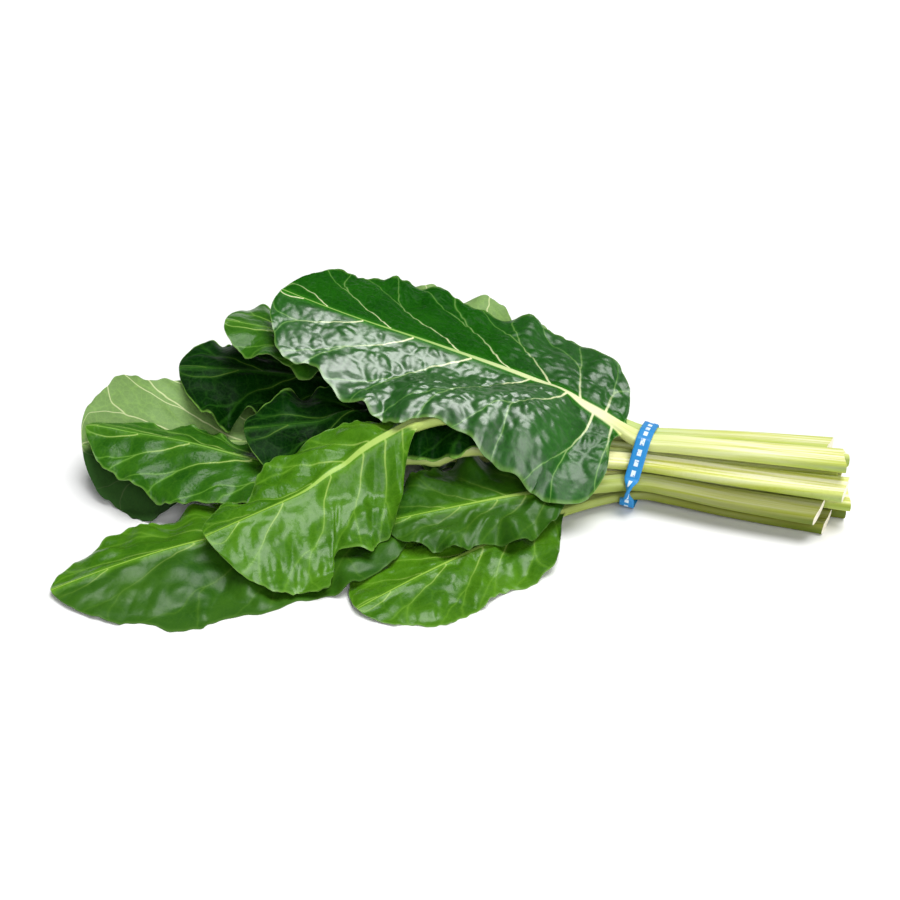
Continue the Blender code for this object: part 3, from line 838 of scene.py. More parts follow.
@dataclass(frozen=True)
class Relief:
    """The veins, puckers and small ruffles raised in a blade, and the ridges of a stalk.

    The quilting swells between the side veins over the valley's width, the cells are the
    puckers, the roll is a slow unevenness, and the frill and its teeth run along the margin.
    A side vein forks from one share of the way out to the margin. The core is the rib's pale
    middle, whose half widths are those at the blade's base and tip.
    """

    quilting: float = 1.3
    valley: float = 5.0
    pucker: float = 1.35
    small_pucker: float = 0.4
    roll: float = 0.9
    roll_size: float = 7
    frill: float = 1.2
    teeth: float = 0.4
    stalk_ridge: float = 0.14
    ridge_spacing: float = 2.1
    edge_thinning: float = 0.25
    fork_from: float = 0.5
    fork_reach: float = 0.27
    fork_bend: float = 1.3
    lean: float = 0.75
    spacing: float = 0.64
    uneven: float = 0.15
    uneven_size: float = 19
    core_half: Pair = (6.4, 0.45)
    core_taper: float = 2.2
    core_at_stalk: float = 10
    cells: Scatter = Scatter(9.5, 11)
    small_cells: Scatter = Scatter(4.4, 12)
    cell_bend: float = 4.5
    bend_size: float = 9
    cell_valley: float = 0.5

    STEM_REACH = 110

    def vein_turns(self, plan: LeafPlan, flat: Flat) -> Array:
        """Numbers the side veins, from the base to the tip.

        Args:
            plan: The leaf.
            flat: The flat leaf.

        Returns:
            A number at each place that is whole on each side vein.
        """
        near = flat.out > 0
        count = np.where(near, *plan.veins)
        lean = self.lean * smooth_step(0, 0.35, flat.through) * (0.6 + 0.8 * flat.through)
        sweep = lean * (1 - (1 - flat.outer) ** 1.6)
        place = flat.along / self.uneven_size, flat.out / self.uneven_size
        uneven = self.uneven * soft_noise(*place, 1 + plan.phase)
        uneven = uneven + 0.12 * np.sin(9 * flat.through + plan.phase + 2 * near)
        return count * flat.through**self.spacing - sweep + uneven + 0.25 + 0.45 * near

    @staticmethod
    def pitch(turns: Array, flat: Flat) -> Array:
        """How far apart the side veins are.

        Args:
            turns: Each place's vein number.
            flat: The flat leaf.

        Returns:
            The millimetres of the flat leaf that one turn of the vein number takes.
        """
        along = [np.gradient(v, axis=0) for v in (flat.along, flat.out, turns)]
        across = [np.gradient(v, axis=1) for v in (flat.along, flat.out, turns)]
        area = along[0] * across[1] - along[1] * across[0]
        area = np.where(np.abs(area) < 1e-9, 1e-9, area)
        by_x = (along[2] * across[1] - across[2] * along[1]) / area
        by_y = (across[2] * along[0] - along[2] * across[0]) / area
        return 1 / np.clip(np.hypot(by_x, by_y), 1 / 60, 1)

    def off_vein(self, turns: Array, flat: Flat) -> Array:
        """How far a place is from the nearest branch of a side vein.

        Args:
            turns: Each place's vein number.
            flat: The flat leaf.

        Returns:
            The distance, in turns of the vein number.
        """
        off = np.abs(turns - np.round(turns))
        fork_share = np.clip((flat.outer - self.fork_from) / (1 - self.fork_from), 0, 1)
        return np.abs(off - self.fork_reach * fork_share**self.fork_bend)

    def core(self, flat: Flat) -> Array:
        """Half the width of the rib's pale core, which widens to take in the stalk.

        Args:
            flat: The flat leaf.

        Returns:
            The half width at each place.
        """
        base, tip = self.core_half
        core = tip + (base - tip) * (1 - flat.through) ** self.core_taper
        return core + (self.core_at_stalk - core) * (1 - flat.into_blade) ** 8

    @staticmethod
    def lamina(flat: Flat, core: Array) -> Array:
        """How fully the blade is raised.

        Args:
            flat: The flat leaf.
            core: Half the width of the rib's core.

        Returns:
            Nothing on the rib, 1 beside it, and less near the margin and the tip.
        """
        beside_rib = np.clip((np.abs(flat.out) - core) / 5, 0, 1)
        begun = smooth_step(0, 0.3, flat.into_blade)
        lamina = smooth_step(0, 1, beside_rib) * begun
        return lamina * (1 - 0.35 * flat.outer**6) * (1 - 0.6 * flat.through**5)

    def frilled(self, flat: Flat, seed: float) -> Array:
        """The small ruffles of the margin, with fine teeth at its very edge.

        Args:
            flat: The flat leaf.
            seed: What the ruffles are drawn from.

        Returns:
            How far they raise each place.
        """
        run = flat.along + 0.35 * np.abs(flat.out)
        frill = np.sin(run / 4.6 + 2 * seed + np.sin(run / 17 + seed) * 2)
        frill = frill * (0.6 + 0.4 * np.sin(run / 13 + 5 * seed))
        teeth = np.sin(run / 1.9 + 3 * np.sin(run / 11 + seed))
        frill = frill + self.teeth * teeth * flat.outer**9
        return self.frill * frill * flat.outer**5 * flat.into_blade * (1 - flat.through**4)

    @staticmethod
    def wax(flat: Flat, core: Array) -> Array:
        """How much the blade shines.

        Args:
            flat: The flat leaf.
            core: Half the width of the rib's core.

        Returns:
            The most on its near half, and on the far half some at the base only.
        """
        near_base = 0.55 * (1 - smooth_step(0.2, 0.42, flat.through))
        near_half = 0.3 + 0.7 * smooth_step(0.02, 0.3, flat.through)
        near_half = near_half * (1 - 0.6 * smooth_step(0.84, 0.98, flat.through))
        wax = np.where(flat.out > 0, near_half, near_base)
        return wax * smooth_step(0, 7, np.abs(flat.out) - core)

    def thinned(self, plan: LeafPlan, flat: Flat) -> None:
        """Cuts fine ridges into the stalk and thins the blade towards its margin.

        Args:
            plan: The leaf.
            flat: The flat leaf, whose rise and drop are changed.
        """
        turn = flat.out * 2 * np.pi / self.ridge_spacing + plan.phase
        ridge = self.stalk_ridge * (np.sin(turn) * (1 - flat.into_blade))
        thin = self.edge_thinning * flat.outer**4 * flat.into_blade
        flat.rise = flat.rise + 0.5 * ridge - thin * 0.5
        flat.drop = flat.drop + ridge - thin * 0.5

    def shape(self, form: LeafForm, flat: Flat) -> dict[str, Array]:
        """Raises a flat leaf's small forms.

        Args:
            form: The leaf.
            flat: The flat leaf, whose bulge, rise and drop are changed.

        Returns:
            What the leaf's finish reads at each place.
        """
        plan = form.plan
        seed = plan.phase
        turns = self.vein_turns(plan, flat)
        pitch = self.pitch(turns, flat)
        off = self.off_vein(turns, flat)
        x, y = flat.along + 37 * seed, flat.out + 91 * seed
        bend = self.cell_bend * soft_noise(x / self.bend_size, y / self.bend_size, 5.0)
        cell, swell = self.cells.read(x + bend, y - bend)
        small, small_swell = self.small_cells.read(x, y)

        core = self.core(flat)
        quilt = 1 - np.exp(-((off * pitch / self.valley) ** 2))
        dome = swell * (1 - np.exp(-((cell / self.cell_valley) ** 2)))
        small_dome = small_swell * (1 - np.exp(-((small / self.cell_valley) ** 2)))
        bulge = self.quilting * quilt + self.pucker * dome + self.small_pucker * small_dome
        bulge = (bulge - 0.5 * self.quilting - 0.4 * self.pucker) * plan.face.value
        roll = self.roll * soft_noise(x / self.roll_size, y / self.roll_size, 2.0 + seed)
        flat.bulge = (bulge + roll) * self.lamina(flat, core) + self.frilled(flat, seed)
        self.thinned(plan, flat)

        # Painted shade: how far each half of the blade, and the stalk, is darkened where less
        # light reaches it.
        half = np.where(flat.out > 0, *plan.painted_shade[1:])
        half = half * smooth_step(0, 6, np.abs(flat.out) - core)
        return {
            "flat": np.stack([x, y, np.zeros_like(x)], axis=-1),
            "vein": np.stack([turns, flat.outer, pitch], axis=-1),
            "place": np.stack([flat.out, core, flat.through], axis=-1),
            "blade": flat.into_blade,
            "stem": smooth_step(form.rib.blade - self.STEM_REACH, form.rib.blade, flat.along),
            "painted_shade": plan.painted_shade[0] + (half - plan.painted_shade[0]) * flat.into_blade,
            "wax": self.wax(flat, core),
            "cell": cell,
            "dome": dome,
        }


# ---------------------------------------------------------------- laying leaf on leaf


class Pile:
    """The heights of what has been laid so far, on a grid of cells."""

    CELL = 3.0
    AREA = ((-480, 90), (-260, 240))
    BRIDGE_SLOPE = 0.8
    BRIDGE_PASSES = 40
    SOFTEN = 3
    SMOOTH_PASSES = 2
    FREE = (12, 55)
    PASSES = 3
    SPREAD = 8

    def __init__(self, clearance: float) -> None:
        """Args:
            clearance: The least height of a leaf over what it lies on.
        """
        self.clearance = clearance
        self.shape = tuple(int((high - low) / self.CELL) + 1 for low, high in self.AREA)
        self.top = np.full(self.shape, -np.inf)

    @classmethod
    def spread(cls, skin: Skin) -> Array:
        """Points spread evenly over both of a leaf's skins.

        Args:
            skin: The leaf.

        Returns:
            The points, one a row.
        """
        parts = cls.SPREAD
        weights = np.array([
            (i / parts, j / parts, 1 - (i + j) / parts)
            for i in range(parts + 1)
            for j in range(parts + 1 - i)
        ])
        found = []
        for side in skin.sheets():
            a, b, c, d = side[:-1, :-1], side[1:, :-1], side[1:, 1:], side[:-1, 1:]
            found += [np.stack([a, b, c], axis=2), np.stack([a, c, d], axis=2)]
        corners = np.concatenate([f.reshape(-1, 3, 3) for f in found])
        return np.einsum("wk,nkc->nwc", weights, corners).reshape(-1, 3)

    def cell(self, points: Array) -> tuple[Array, ...]:
        """The grid cell of each point.

        Args:
            points: The points, one a row.

        Returns:
            The cells' two numbers.
        """
        return tuple(
            np.clip(((points[:, k] - self.AREA[k][0]) / self.CELL).astype(int), 0,
                    self.shape[k] - 1)
            for k in range(2)
        )

    def freedom(self) -> Array:
        """How free a leaf is to be raised.

        Returns:
            For each cell, 0 in the band, where the stalks are held, and 1 well away from it.
        """
        centres = [
            self.AREA[k][0] + (np.arange(self.shape[k]) + 0.5) * self.CELL for k in range(2)
        ]
        x, y = np.meshgrid(*centres, indexing="ij")
        along, _ = STALKS.axes()
        return smooth_step(*self.FREE, -(x * along[0] + y * along[1]))

    def shortfall(self, points: Array) -> Array:
        """How far a leaf is below where it would lie clear of the pile.

        Args:
            points: Points on the leaf.

        Returns:
            The height that each cell lacks.
        """
        low = np.full(self.shape, np.inf)
        np.minimum.at(low, self.cell(points), points[:, 2])
        both = np.isfinite(low) & np.isfinite(self.top)
        need = np.zeros(self.shape)
        need[both] = np.maximum(self.top[both] + self.clearance - low[both], 0)
        return need * self.freedom()

    def softened(self, need: Array) -> Array:
        """Turns what is lacking into a smooth rise.

        Args:
            need: The height that each cell lacks.

        Returns:
            A smooth field, nowhere lower, that falls off at the bridging slope.
        """
        lifted = need
        fall = self.BRIDGE_SLOPE * self.CELL
        for _ in range(self.BRIDGE_PASSES):
            lifted = np.maximum(lifted, near_cells(lifted, 1, np.max) - fall)
        lifted = near_cells(np.maximum(lifted, 0), self.SOFTEN, np.max)
        for _ in range(self.SMOOTH_PASSES):
            lifted = near_cells(lifted, self.SOFTEN // 2, np.mean)
        return lifted * self.freedom()

    def read(self, values: Array, points: Array) -> Array:
        """Reads a field between its cells' centres.

        Args:
            values: The field.
            points: Where to read it.

        Returns:
            Its value at each point.
        """
        place = [
            np.clip((points[..., k] - self.AREA[k][0]) / self.CELL - 0.5, 0,
                    self.shape[k] - 1.001)
            for k in range(2)
        ]
        i, j = (p.astype(int) for p in place)
        u, v = place[0] - i, place[1] - j
        return (
            values[i, j] * (1 - u) * (1 - v)
            + values[i + 1, j] * u * (1 - v)
            + values[i, j + 1] * (1 - u) * v
            + values[i + 1, j + 1] * u * v
        )

    def raise_by(self, skin: Skin, lifted: Array) -> None:
        """Raises a leaf by a field, the same for both its skins."""
        skin.lift((self.read(lifted, skin.upper) + self.read(lifted, skin.lower)) / 2)

    def lay(self, skin: Skin) -> list[Array]:
        """Lays a leaf on the pile.

        Args:
            skin: The leaf, which is raised where it has to be.

        Returns:
            The fields that raised it.
        """
        raised = []
        for _ in range(self.PASSES):
            need = self.shortfall(self.spread(skin))
            if need.max() < self.clearance / 4:
                break
            raised.append(self.softened(need))
            self.raise_by(skin, raised[-1])
        self.add(self.spread(skin))
        return raised

    def add(self, points: Array) -> None:
        """Adds what has been laid to the pile's heights."""
        np.maximum.at(self.top, self.cell(points), points[:, 2])

    def settle(self, skin: Skin) -> float:
        """Lays a fine leaf on the pile by its own points.

        Args:
            skin: The leaf, which is raised where it has to be.

        Returns:
            The most that it had to be raised.
        """
        need = self.shortfall(skin.points())
        if need.max() > 0:
            self.raise_by(skin, self.softened(need))
        self.add(skin.points())
        return float(need.max())


def on_table(skin: Skin) -> None:
    """Presses a leaf flat where it would go below the table."""
    skin.lift(np.maximum(-skin.lower[..., 2], 0))


# ---------------------------------------------------------------- shader arithmetic


class Shade:
    """A number in a material's nodes. Arithmetic on it adds Math nodes."""

    def __init__(self, paint: "Paint", socket: bpy.types.NodeSocket) -> None:
        """Args:
            paint: The material it is in.
            socket: Where it comes from.
        """
        self.paint = paint
        self.socket = socket

    def math(self, operation: str, *values: "Shade | float") -> "Shade":
        """This value and others put through one Math node."""
        return self.paint.math(operation, self, *values)

    def __add__(self, other: "Shade | float") -> "Shade":
        """The sum."""
        return self.math("ADD", other)

    def __radd__(self, other: float) -> "Shade":
        """The sum, from the right."""
        return self.math("ADD", other)

    def __sub__(self, other: "Shade | float") -> "Shade":
        """The difference."""
        return self.math("SUBTRACT", other)

    def __rsub__(self, other: float) -> "Shade":
        """The difference, from the right."""
        return self.paint.math("SUBTRACT", other, self)

    def __mul__(self, other: "Shade | float") -> "Shade":
        """The product."""
        return self.math("MULTIPLY", other)

    def __rmul__(self, other: float) -> "Shade":
        """The product, from the right."""
        return self.math("MULTIPLY", other)

    def __truediv__(self, other: "Shade | float") -> "Shade":
        """The quotient."""
        return self.math("DIVIDE", other)

    def __abs__(self) -> "Shade":
        """The size without the sign."""
        return self.math("ABSOLUTE")

    def step(self, low: float, high: float) -> "Shade":
        """A smooth step.

        Args:
            low: Where it is 0. This may be the higher of the two.
            high: Where it is 1.

        Returns:
            A value from 0 to 1.
        """
        made = self.paint.node(
            "ShaderNodeMapRange",
            {"interpolation_type": "SMOOTHSTEP"},
            {"Value": self, "From Min": low, "From Max": high},
        )
        return Shade(self.paint, made.outputs["Result"])


class Paint:
    """The nodes of a material or of the world."""

    def __init__(self, owner: bpy.types.Material | bpy.types.World, shader: str) -> None:
        """Args:
            owner: The material or the world.
            shader: The name of its shader node.
        """
        owner.use_nodes = True
        self.tree = owner.node_tree
        self.shader = self.tree.nodes[shader]

    @classmethod
    def material(cls, name: str) -> tuple["Paint", bpy.types.Material]:
        """A new material and its nodes."""
        made = bpy.data.materials.new(name)
        return cls(made, "Principled BSDF"), made

    def dress(self, sockets: dict[str, object]) -> None:
        """Gives the shader's own sockets their values or links."""
        for name, value in sockets.items():
            self.feed(self.shader.inputs[name], value)

    def feed(self, socket: bpy.types.NodeSocket, value: object) -> None:
        """Gives a socket a value or a link.

        Args:
            socket: The socket.
            value: A number, a colour, or where a link comes from.
        """
        value = value.socket if isinstance(value, Shade) else value
        if isinstance(value, bpy.types.NodeSocket):
            self.tree.links.new(value, socket)
        elif isinstance(value, tuple) and len(value) == 3 and socket.type == "RGBA":
            socket.default_value = (*value, 1)
        else:
            socket.default_value = value

    def node(self, kind: str, settings: dict[str, object], sockets: dict) -> bpy.types.Node:
        """Adds a node.

        Args:
            kind: The node's type.
            settings: Its settings, which are set first.
            sockets: Values or links, by the sockets' names or numbers.

        Returns:
            The node.
        """
        made = self.tree.nodes.new(kind)
        for name, value in settings.items():
            setattr(made, name, value)
        for name, value in sockets.items():
            self.feed(made.inputs[name], value)
        return made

    def math(self, operation: str, *values: "Shade | float") -> Shade:
        """A Math node on some values."""
        made = self.node("ShaderNodeMath", {"operation": operation}, dict(enumerate(values)))
        return Shade(self, made.outputs["Value"])

    def number(self, name: str) -> Shade:
        """A number stored on the mesh."""
        made = self.node("ShaderNodeAttribute", {"attribute_name": name}, {})
        return Shade(self, made.outputs["Fac"])

    def vector(self, name: str) -> bpy.types.NodeSocket:
        """A vector stored on the mesh."""
        return self.node("ShaderNodeAttribute", {"attribute_name": name}, {}).outputs["Vector"]

    def parts(self, vector: bpy.types.NodeSocket) -> tuple[Shade, Shade, Shade]:
        """A vector's three numbers."""
        made = self.node("ShaderNodeSeparateXYZ", {}, {"Vector": vector})
        return tuple(Shade(self, out) for out in made.outputs)

    def scaled(self, vector: bpy.types.NodeSocket, by: Point) -> bpy.types.NodeSocket:
        """A vector multiplied, number by number."""
        made = self.node("ShaderNodeVectorMath", {"operation": "MULTIPLY"}, {0: vector, 1: by})
        return made.outputs["Vector"]

    def noise(self, vector: bpy.types.NodeSocket, scale: float, detail: float) -> Shade:
        """Smooth noise, about 0.5 on average.

        Args:
            vector: The coordinates.
            scale: How fine it is.
            detail: How many finer layers it has.

        Returns:
            The noise.
        """
        sockets = {"Vector": vector, "Scale": scale, "Detail": detail}
        made = self.node("ShaderNodeTexNoise", {}, sockets)
        return Shade(self, made.outputs["Fac"])

    def net(self, vector: bpy.types.NodeSocket, scale: float) -> Shade:
        """A net of cells.

        Args:
            vector: The coordinates.
            scale: How fine it is.

        Returns:
            The distance from its nearest line.
        """
        made = self.node("ShaderNodeTexVoronoi", {"feature": "DISTANCE_TO_EDGE"},
                         {"Vector": vector, "Scale": scale})
        return Shade(self, made.outputs["Distance"])

    def mix(self, share: Shade, first: object, second: object) -> bpy.types.NodeSocket:
        """Mixes two colours.

        Args:
            share: 0 for the first colour and 1 for the second.
            first: The first colour.
            second: The second.

        Returns:
            The mixed colour.
        """
        sockets = {0: share, 6: first, 7: second}
        return self.node("ShaderNodeMix", {"data_type": "RGBA"}, sockets).outputs[2]

    def bump(self, height: Shade, depth: float, strength: float) -> bpy.types.NodeSocket:
        """Bumps in a surface.

        Args:
            height: Their height, from 0 to 1.
            depth: What a height of 1 stands for, in metres.
            strength: How much of it is seen.

        Returns:
            The bumped normal.
        """
        made = self.node("ShaderNodeBump", {},
                         {"Height": height, "Distance": depth, "Strength": strength})
        return made.outputs["Normal"]


# ---------------------------------------------------------------- finishes


class LeafMarks:
    """What a leaf's mesh tells its finish at each place, and the patterns drawn from that.

    Each is a mask from 0 to 1 unless it is a coordinate. Outer runs from the rib to the
    margin and through from the blade's base to its tip. The side mask is a side vein's line
    and the halo the strip along it.
    """

    PATCH_SCALE = 0.03
    SPECK_SCALE = 0.35
    NET_SCALE = 0.30
    STREAK_SCALE = (0.012, 0.5, 1.0)
    FORK_FROM = 0.5
    FORK_SPREAD = 0.54

    def __init__(self, paint: Paint, thick: float) -> None:
        """Args:
            paint: The material's nodes.
            thick: Half the thickness of a side vein, in millimetres.
        """
        self.mix = paint.mix
        flat = paint.vector("flat")
        turns, self.outer, pitch = paint.parts(paint.vector("vein"))
        out, core, self.through = paint.parts(paint.vector("place"))
        self.blade, self.under, self.cut = map(paint.number, ("blade", "under", "cut"))
        self.stem, self.painted_shade = map(paint.number, ("stem", "painted_shade"))
        self.cell, self.dome = map(paint.number, ("cell", "dome"))
        self.patches = paint.noise(flat, self.PATCH_SCALE, 3)
        self.specks = paint.noise(flat, self.SPECK_SCALE, 3)
        self.net = paint.net(flat, self.NET_SCALE)
        self.fine_net = self.net.step(0.09, 0.0)
        self.streaks = paint.noise(paint.scaled(flat, self.STREAK_SCALE), 1.0, 2)

        turns = turns + (paint.noise(flat, 0.09, 1) - 0.5) * 0.10
        fork = (self.outer - self.FORK_FROM).math("MAXIMUM", 0.0) * self.FORK_SPREAD
        off_vein = abs(abs(turns - turns.math("ROUND")) - fork) * pitch
        inner = 1 - self.outer
        taper = 0.55 + inner * inner * (0.9 - 0.9 * self.through)
        self.side = (off_vein / (thick * taper)).step(1.5, 0.5)
        self.halo = (off_vein / (3.2 - 1.6 * self.outer)).step(1.0, 0.0)
        off_rib = abs(out)
        self.rib = (off_rib / core).step(1.12, 0.72)
        self.beside = (off_rib - core).step(4.0, 0.0)
        self.brim = off_rib.step(3.0, 7.5)


@dataclass(frozen=True)
class LeafFinish:
    """The colours and gloss of a leaf, from its cut end to its tip.

    The upper face goes from deep to fresh, with edge along its veins and margin at its rim,
    a painted highlight along the edge where it catches the light.
    Thick and clear are its side veins' width and strength, grain its small pillows, and the
    coat is the wax that makes it shine. The darkest green and the olive are painted shade,
    for blades and stalks in shadow.
    """

    deep: Colour
    fresh: Colour
    edge: Colour
    side_vein: Colour
    rib: Colour = (0.76, 0.80, 0.44)
    rib_tip: Colour = (0.26, 0.44, 0.10)
    under: Colour = (0.14, 0.26, 0.07)
    under_fresh: Colour = (0.24, 0.37, 0.13)
    stalk: Colour = (0.80, 0.79, 0.42)
    stalk_groove: Colour = (0.54, 0.56, 0.10)
    stalk_pale: Colour = (0.91, 0.89, 0.70)
    stalk_edge_and_under_shade: Colour = (0.42, 0.52, 0.06)
    stalk_green: Colour = (0.42, 0.56, 0.14)
    painted_shade_olive: Colour = (0.13, 0.15, 0.006)
    cut: Colour = (0.88, 0.80, 0.68)
    margin: Colour = (0.16, 0.33, 0.05)
    painted_shade_green: Colour = (0.003, 0.045, 0.001)
    gloss: float = 0.40
    dull: float = 0.55
    shine: float = 0.25
    coat: float = 0.0
    coat_gloss: float = 0.37
    coat_index: float = 1.85
    thick: float = 0.62
    clear: float = 0.85
    grain: float = 0.3
    relief: float = 0.0004
    rim: float = 0.6

    def upper_face(self, marks: LeafMarks) -> bpy.types.NodeSocket:
        """The colour of the blade's upper face.

        Args:
            marks: What the mesh tells the finish.

        Returns:
            The colour.
        """
        patches = (marks.patches * 2.2 - 0.6) * (0.6 + 0.4 * marks.dome)
        green = marks.mix(patches, self.deep, self.fresh)
        # Painted highlight: a lighter green along the margin, standing in for its lit rim.
        green = marks.mix(marks.outer.step(0.955, 1.0) * self.rim, green, self.margin)
        lines = marks.halo * 0.4 + marks.cell.step(0.22, 0.0) * 0.2
        lines = lines + marks.fine_net * 0.15 + marks.beside * 0.5
        green = marks.mix(lines, green, self.edge)
        vein = marks.mix(marks.outer.step(0.0, 0.7), self.rib, self.side_vein)
        return marks.mix(marks.side * (self.clear - 0.5 * marks.outer), green, vein)

    def underside(self, marks: LeafMarks) -> bpy.types.NodeSocket:
        """The colour of the blade's underside.

        Args:
            marks: What the mesh tells the finish.

        Returns:
            The colour.
        """
        patches = marks.patches * 0.7 + marks.specks * 0.3
        pale = marks.mix(patches, self.under, self.under_fresh)
        net = marks.cell.step(0.2, 0.0) * 0.25 + marks.fine_net * 0.25
        pale = marks.mix(net, pale, self.rib_tip)
        return marks.mix(marks.side * 0.55, pale, self.rib)

    def stalk_and_rib(self, marks: LeafMarks) -> bpy.types.NodeSocket:
        """The colour of the stalk, and of the rib that it turns into.

        Args:
            marks: What the mesh tells the finish.

        Returns:
            The colour.
        """
        stalk = marks.mix(marks.streaks.step(0.30, 0.56), self.stalk_groove, self.stalk)
        stalk = marks.mix(marks.streaks.step(0.48, 0.70) * 0.8, stalk, self.stalk_pale)
        # Greener towards the stalk's edges, and darker on its underside, which is painted
        # shade.
        stalk = marks.mix(marks.brim * 0.55 + marks.under * 0.25, stalk, self.stalk_edge_and_under_shade)
        stalk = marks.mix(marks.stem * 0.8, stalk, self.stalk_green)
        # Painted shade: the lower stalks, which lie in shadow under the others, turn dark
        # olive.
        low = marks.painted_shade * (1 - marks.blade) * (0.95 - 0.45 * marks.stem)
        stalk = marks.mix(low, stalk, self.painted_shade_olive)
        rib = marks.mix(marks.through.step(0.05, 0.75), self.rib, self.rib_tip)
        return marks.mix(marks.blade, stalk, rib)

    def material(self, name: str) -> bpy.types.Material:
        """Makes the material.

        Args:
            name: The material's name.

        Returns:
            The material.
        """
        paint, made = Paint.material(name)
        marks = LeafMarks(paint, self.thick)
        surface = paint.mix(marks.under, self.upper_face(marks), self.underside(marks))
        # Painted shade: the blade darkens towards near-black green where it lies in shadow.
        surface = paint.mix(marks.painted_shade * 0.9, surface, self.painted_shade_green)
        surface = paint.mix(marks.rib, surface, self.stalk_and_rib(marks))
        cut = paint.mix(marks.specks, self.cut, self.stalk_pale)
        surface = paint.mix(marks.cut, surface, cut)

        gloss = self.gloss + (self.dull - self.gloss) * marks.under
        gloss = gloss + 0.15 * (marks.specks - 0.5) + 0.3 * marks.painted_shade
        pillow = marks.net.step(0.0, 0.42) * (0.3 + 1.4 * marks.specks)
        height = 0.35 * marks.specks + pillow * (1 - marks.rib) * self.grain
        height = height + marks.streaks * (1 - marks.blade) * 0.6
        paint.dress({"Base Color": surface, "Roughness": gloss,
                     "Normal": paint.bump(height, self.relief, 0.6),
                     "Specular IOR Level": self.shine})
        if self.coat:
            paint.dress({"Coat Weight": paint.number("wax") * self.coat,
                         "Coat Roughness": self.coat_gloss, "Coat IOR": self.coat_index})
        return made


@dataclass(frozen=True)
class RubberFinish:
    """Dyed rubber with a printed row of dashes."""

    name: str = "blue rubber"
    blue: Colour = (0.002, 0.17, 0.50)
    worn: Colour = (0.008, 0.27, 0.60)
    ink: Colour = (0.70, 0.80, 0.86)
    dash: float = 7.0

    def material(self) -> bpy.types.Material:
        """Makes the material.

        Returns:
            The material.
        """
        paint, made = Paint.material(self.name)
        flat = paint.vector("flat")
        run, across, _ = paint.parts(flat)
        dust = paint.noise(flat, 0.6, 4)
        long_dash = abs((run / self.dash).math("FRACT") - 0.5)
        dash = long_dash.step(0.32, 0.28) * abs(across).step(1.5, 1.2)
        print_left = dash * dust.step(0.28, 0.45)
        base = paint.mix(dust, self.blue, self.worn)
        paint.dress({"Base Color": paint.mix(print_left, base, self.ink),
                     "Roughness": 0.42 + 0.2 * dust,
                     "Normal": paint.bump(dust, 0.0002, 0.5)})
        return made


FINISHES = {
    Green.TOP: LeafFinish((0.003, 0.055, 0.001), (0.012, 0.115, 0.002),
                          (0.03, 0.18, 0.008), (0.24, 0.42, 0.11), rib=(0.82, 0.84, 0.50),
                          stalk_green=(0.64, 0.70, 0.28), gloss=0.33, shine=0.04,
                          coat=1.0, grain=1.0),
    Green.DARK: LeafFinish((0.008, 0.065, 0.002), (0.045, 0.165, 0.007),
                           (0.07, 0.21, 0.01), (0.15, 0.33, 0.05), rib=(0.36, 0.50, 0.13),
                           rib_tip=(0.16, 0.34, 0.05), gloss=0.30, shine=0.2),
    # Painted shade: near-black greens for the inner leaves in shadow, with a stronger painted
    # highlight at the rim.
    Green.SHADED_INNER: LeafFinish((0.0006, 0.010, 0.0004), (0.0015, 0.032, 0.001),
                            (0.02, 0.09, 0.007), (0.010, 0.055, 0.003), rib=(0.08, 0.16, 0.02),
                            rib_tip=(0.03, 0.10, 0.01), gloss=0.45, shine=0.04, rim=0.9),
    Green.LIGHT: LeafFinish((0.027, 0.115, 0.002), (0.088, 0.245, 0.007),
                            (0.11, 0.275, 0.015), (0.20, 0.39, 0.04), rib=(0.40, 0.56, 0.13),
                            rib_tip=(0.26, 0.45, 0.06), gloss=0.28, shine=0.18, coat=0.12,
                            thick=0.5, clear=0.55),
    Green.PALE: LeafFinish((0.004, 0.055, 0.002), (0.025, 0.13, 0.005),
                           (0.05, 0.19, 0.01), (0.20, 0.38, 0.08), under=(0.10, 0.21, 0.04),
                           under_fresh=(0.24, 0.37, 0.13), gloss=0.35, shine=0.2),
}


# ---------------------------------------------------------------- meshes


def quads(grid: Array) -> Array:
    """The four corners of each cell of a grid, down its rows first."""
    corners = [grid[:-1, :-1], grid[1:, :-1], grid[1:, 1:], grid[:-1, 1:]]
    return np.stack(corners, axis=2).reshape(-1, 4, *grid.shape[2:])


def plane(first: Array, second: Array) -> Array:
    """The points of a flat grid, from its two coordinates."""
    return np.stack(np.meshgrid(first, second, indexing="ij"), axis=-1)


def add_object(name: str, data: bpy.types.ID, place: Point | Array) -> bpy.types.Object:
    """Adds an object to the scene.

    Args:
        name: The object's name.
        data: What it shows.
        place: Where it is.

    Returns:
        The object.
    """
    made = bpy.data.objects.new(name, data)
    made.location = place
    bpy.context.scene.collection.objects.link(made)
    return made


def make_object(name: str, points: Array, faces: Array, origin: Array,
                corners: Array) -> bpy.types.Object:
    """Makes a mesh object with a layout for its baked colours.

    Args:
        name: The object's name.
        points: Its points in metres, in the row frame.
        faces: Four point numbers for each face.
        origin: The object's own origin.
        corners: The layout's place for each face's corners.

    Returns:
        The object, linked to the scene.
    """
    mesh = bpy.data.meshes.new(name)
    mesh.from_pydata((points - origin).tolist(), [], faces.tolist())
    layout = mesh.uv_layers.new(name="OFBake")
    layout.data.foreach_set("uv", corners.astype(np.float32).ravel())
    mesh.shade_smooth()
    return add_object(name, mesh, origin)


def store(mesh: bpy.types.Mesh, name: str, values: Array, domain: str = "POINT") -> None:
    """Stores values on a mesh, for its finish to read.

    Args:
        mesh: The mesh.
        name: What the values are called.
        values: One number or vector for each point or face.
        domain: POINT or FACE.
    """
    vectors = values.ndim == 2
    made = mesh.attributes.new(name, "FLOAT_VECTOR" if vectors else "FLOAT", domain)
    made.data.foreach_set("vector" if vectors else "value", values.astype(np.float32).ravel())


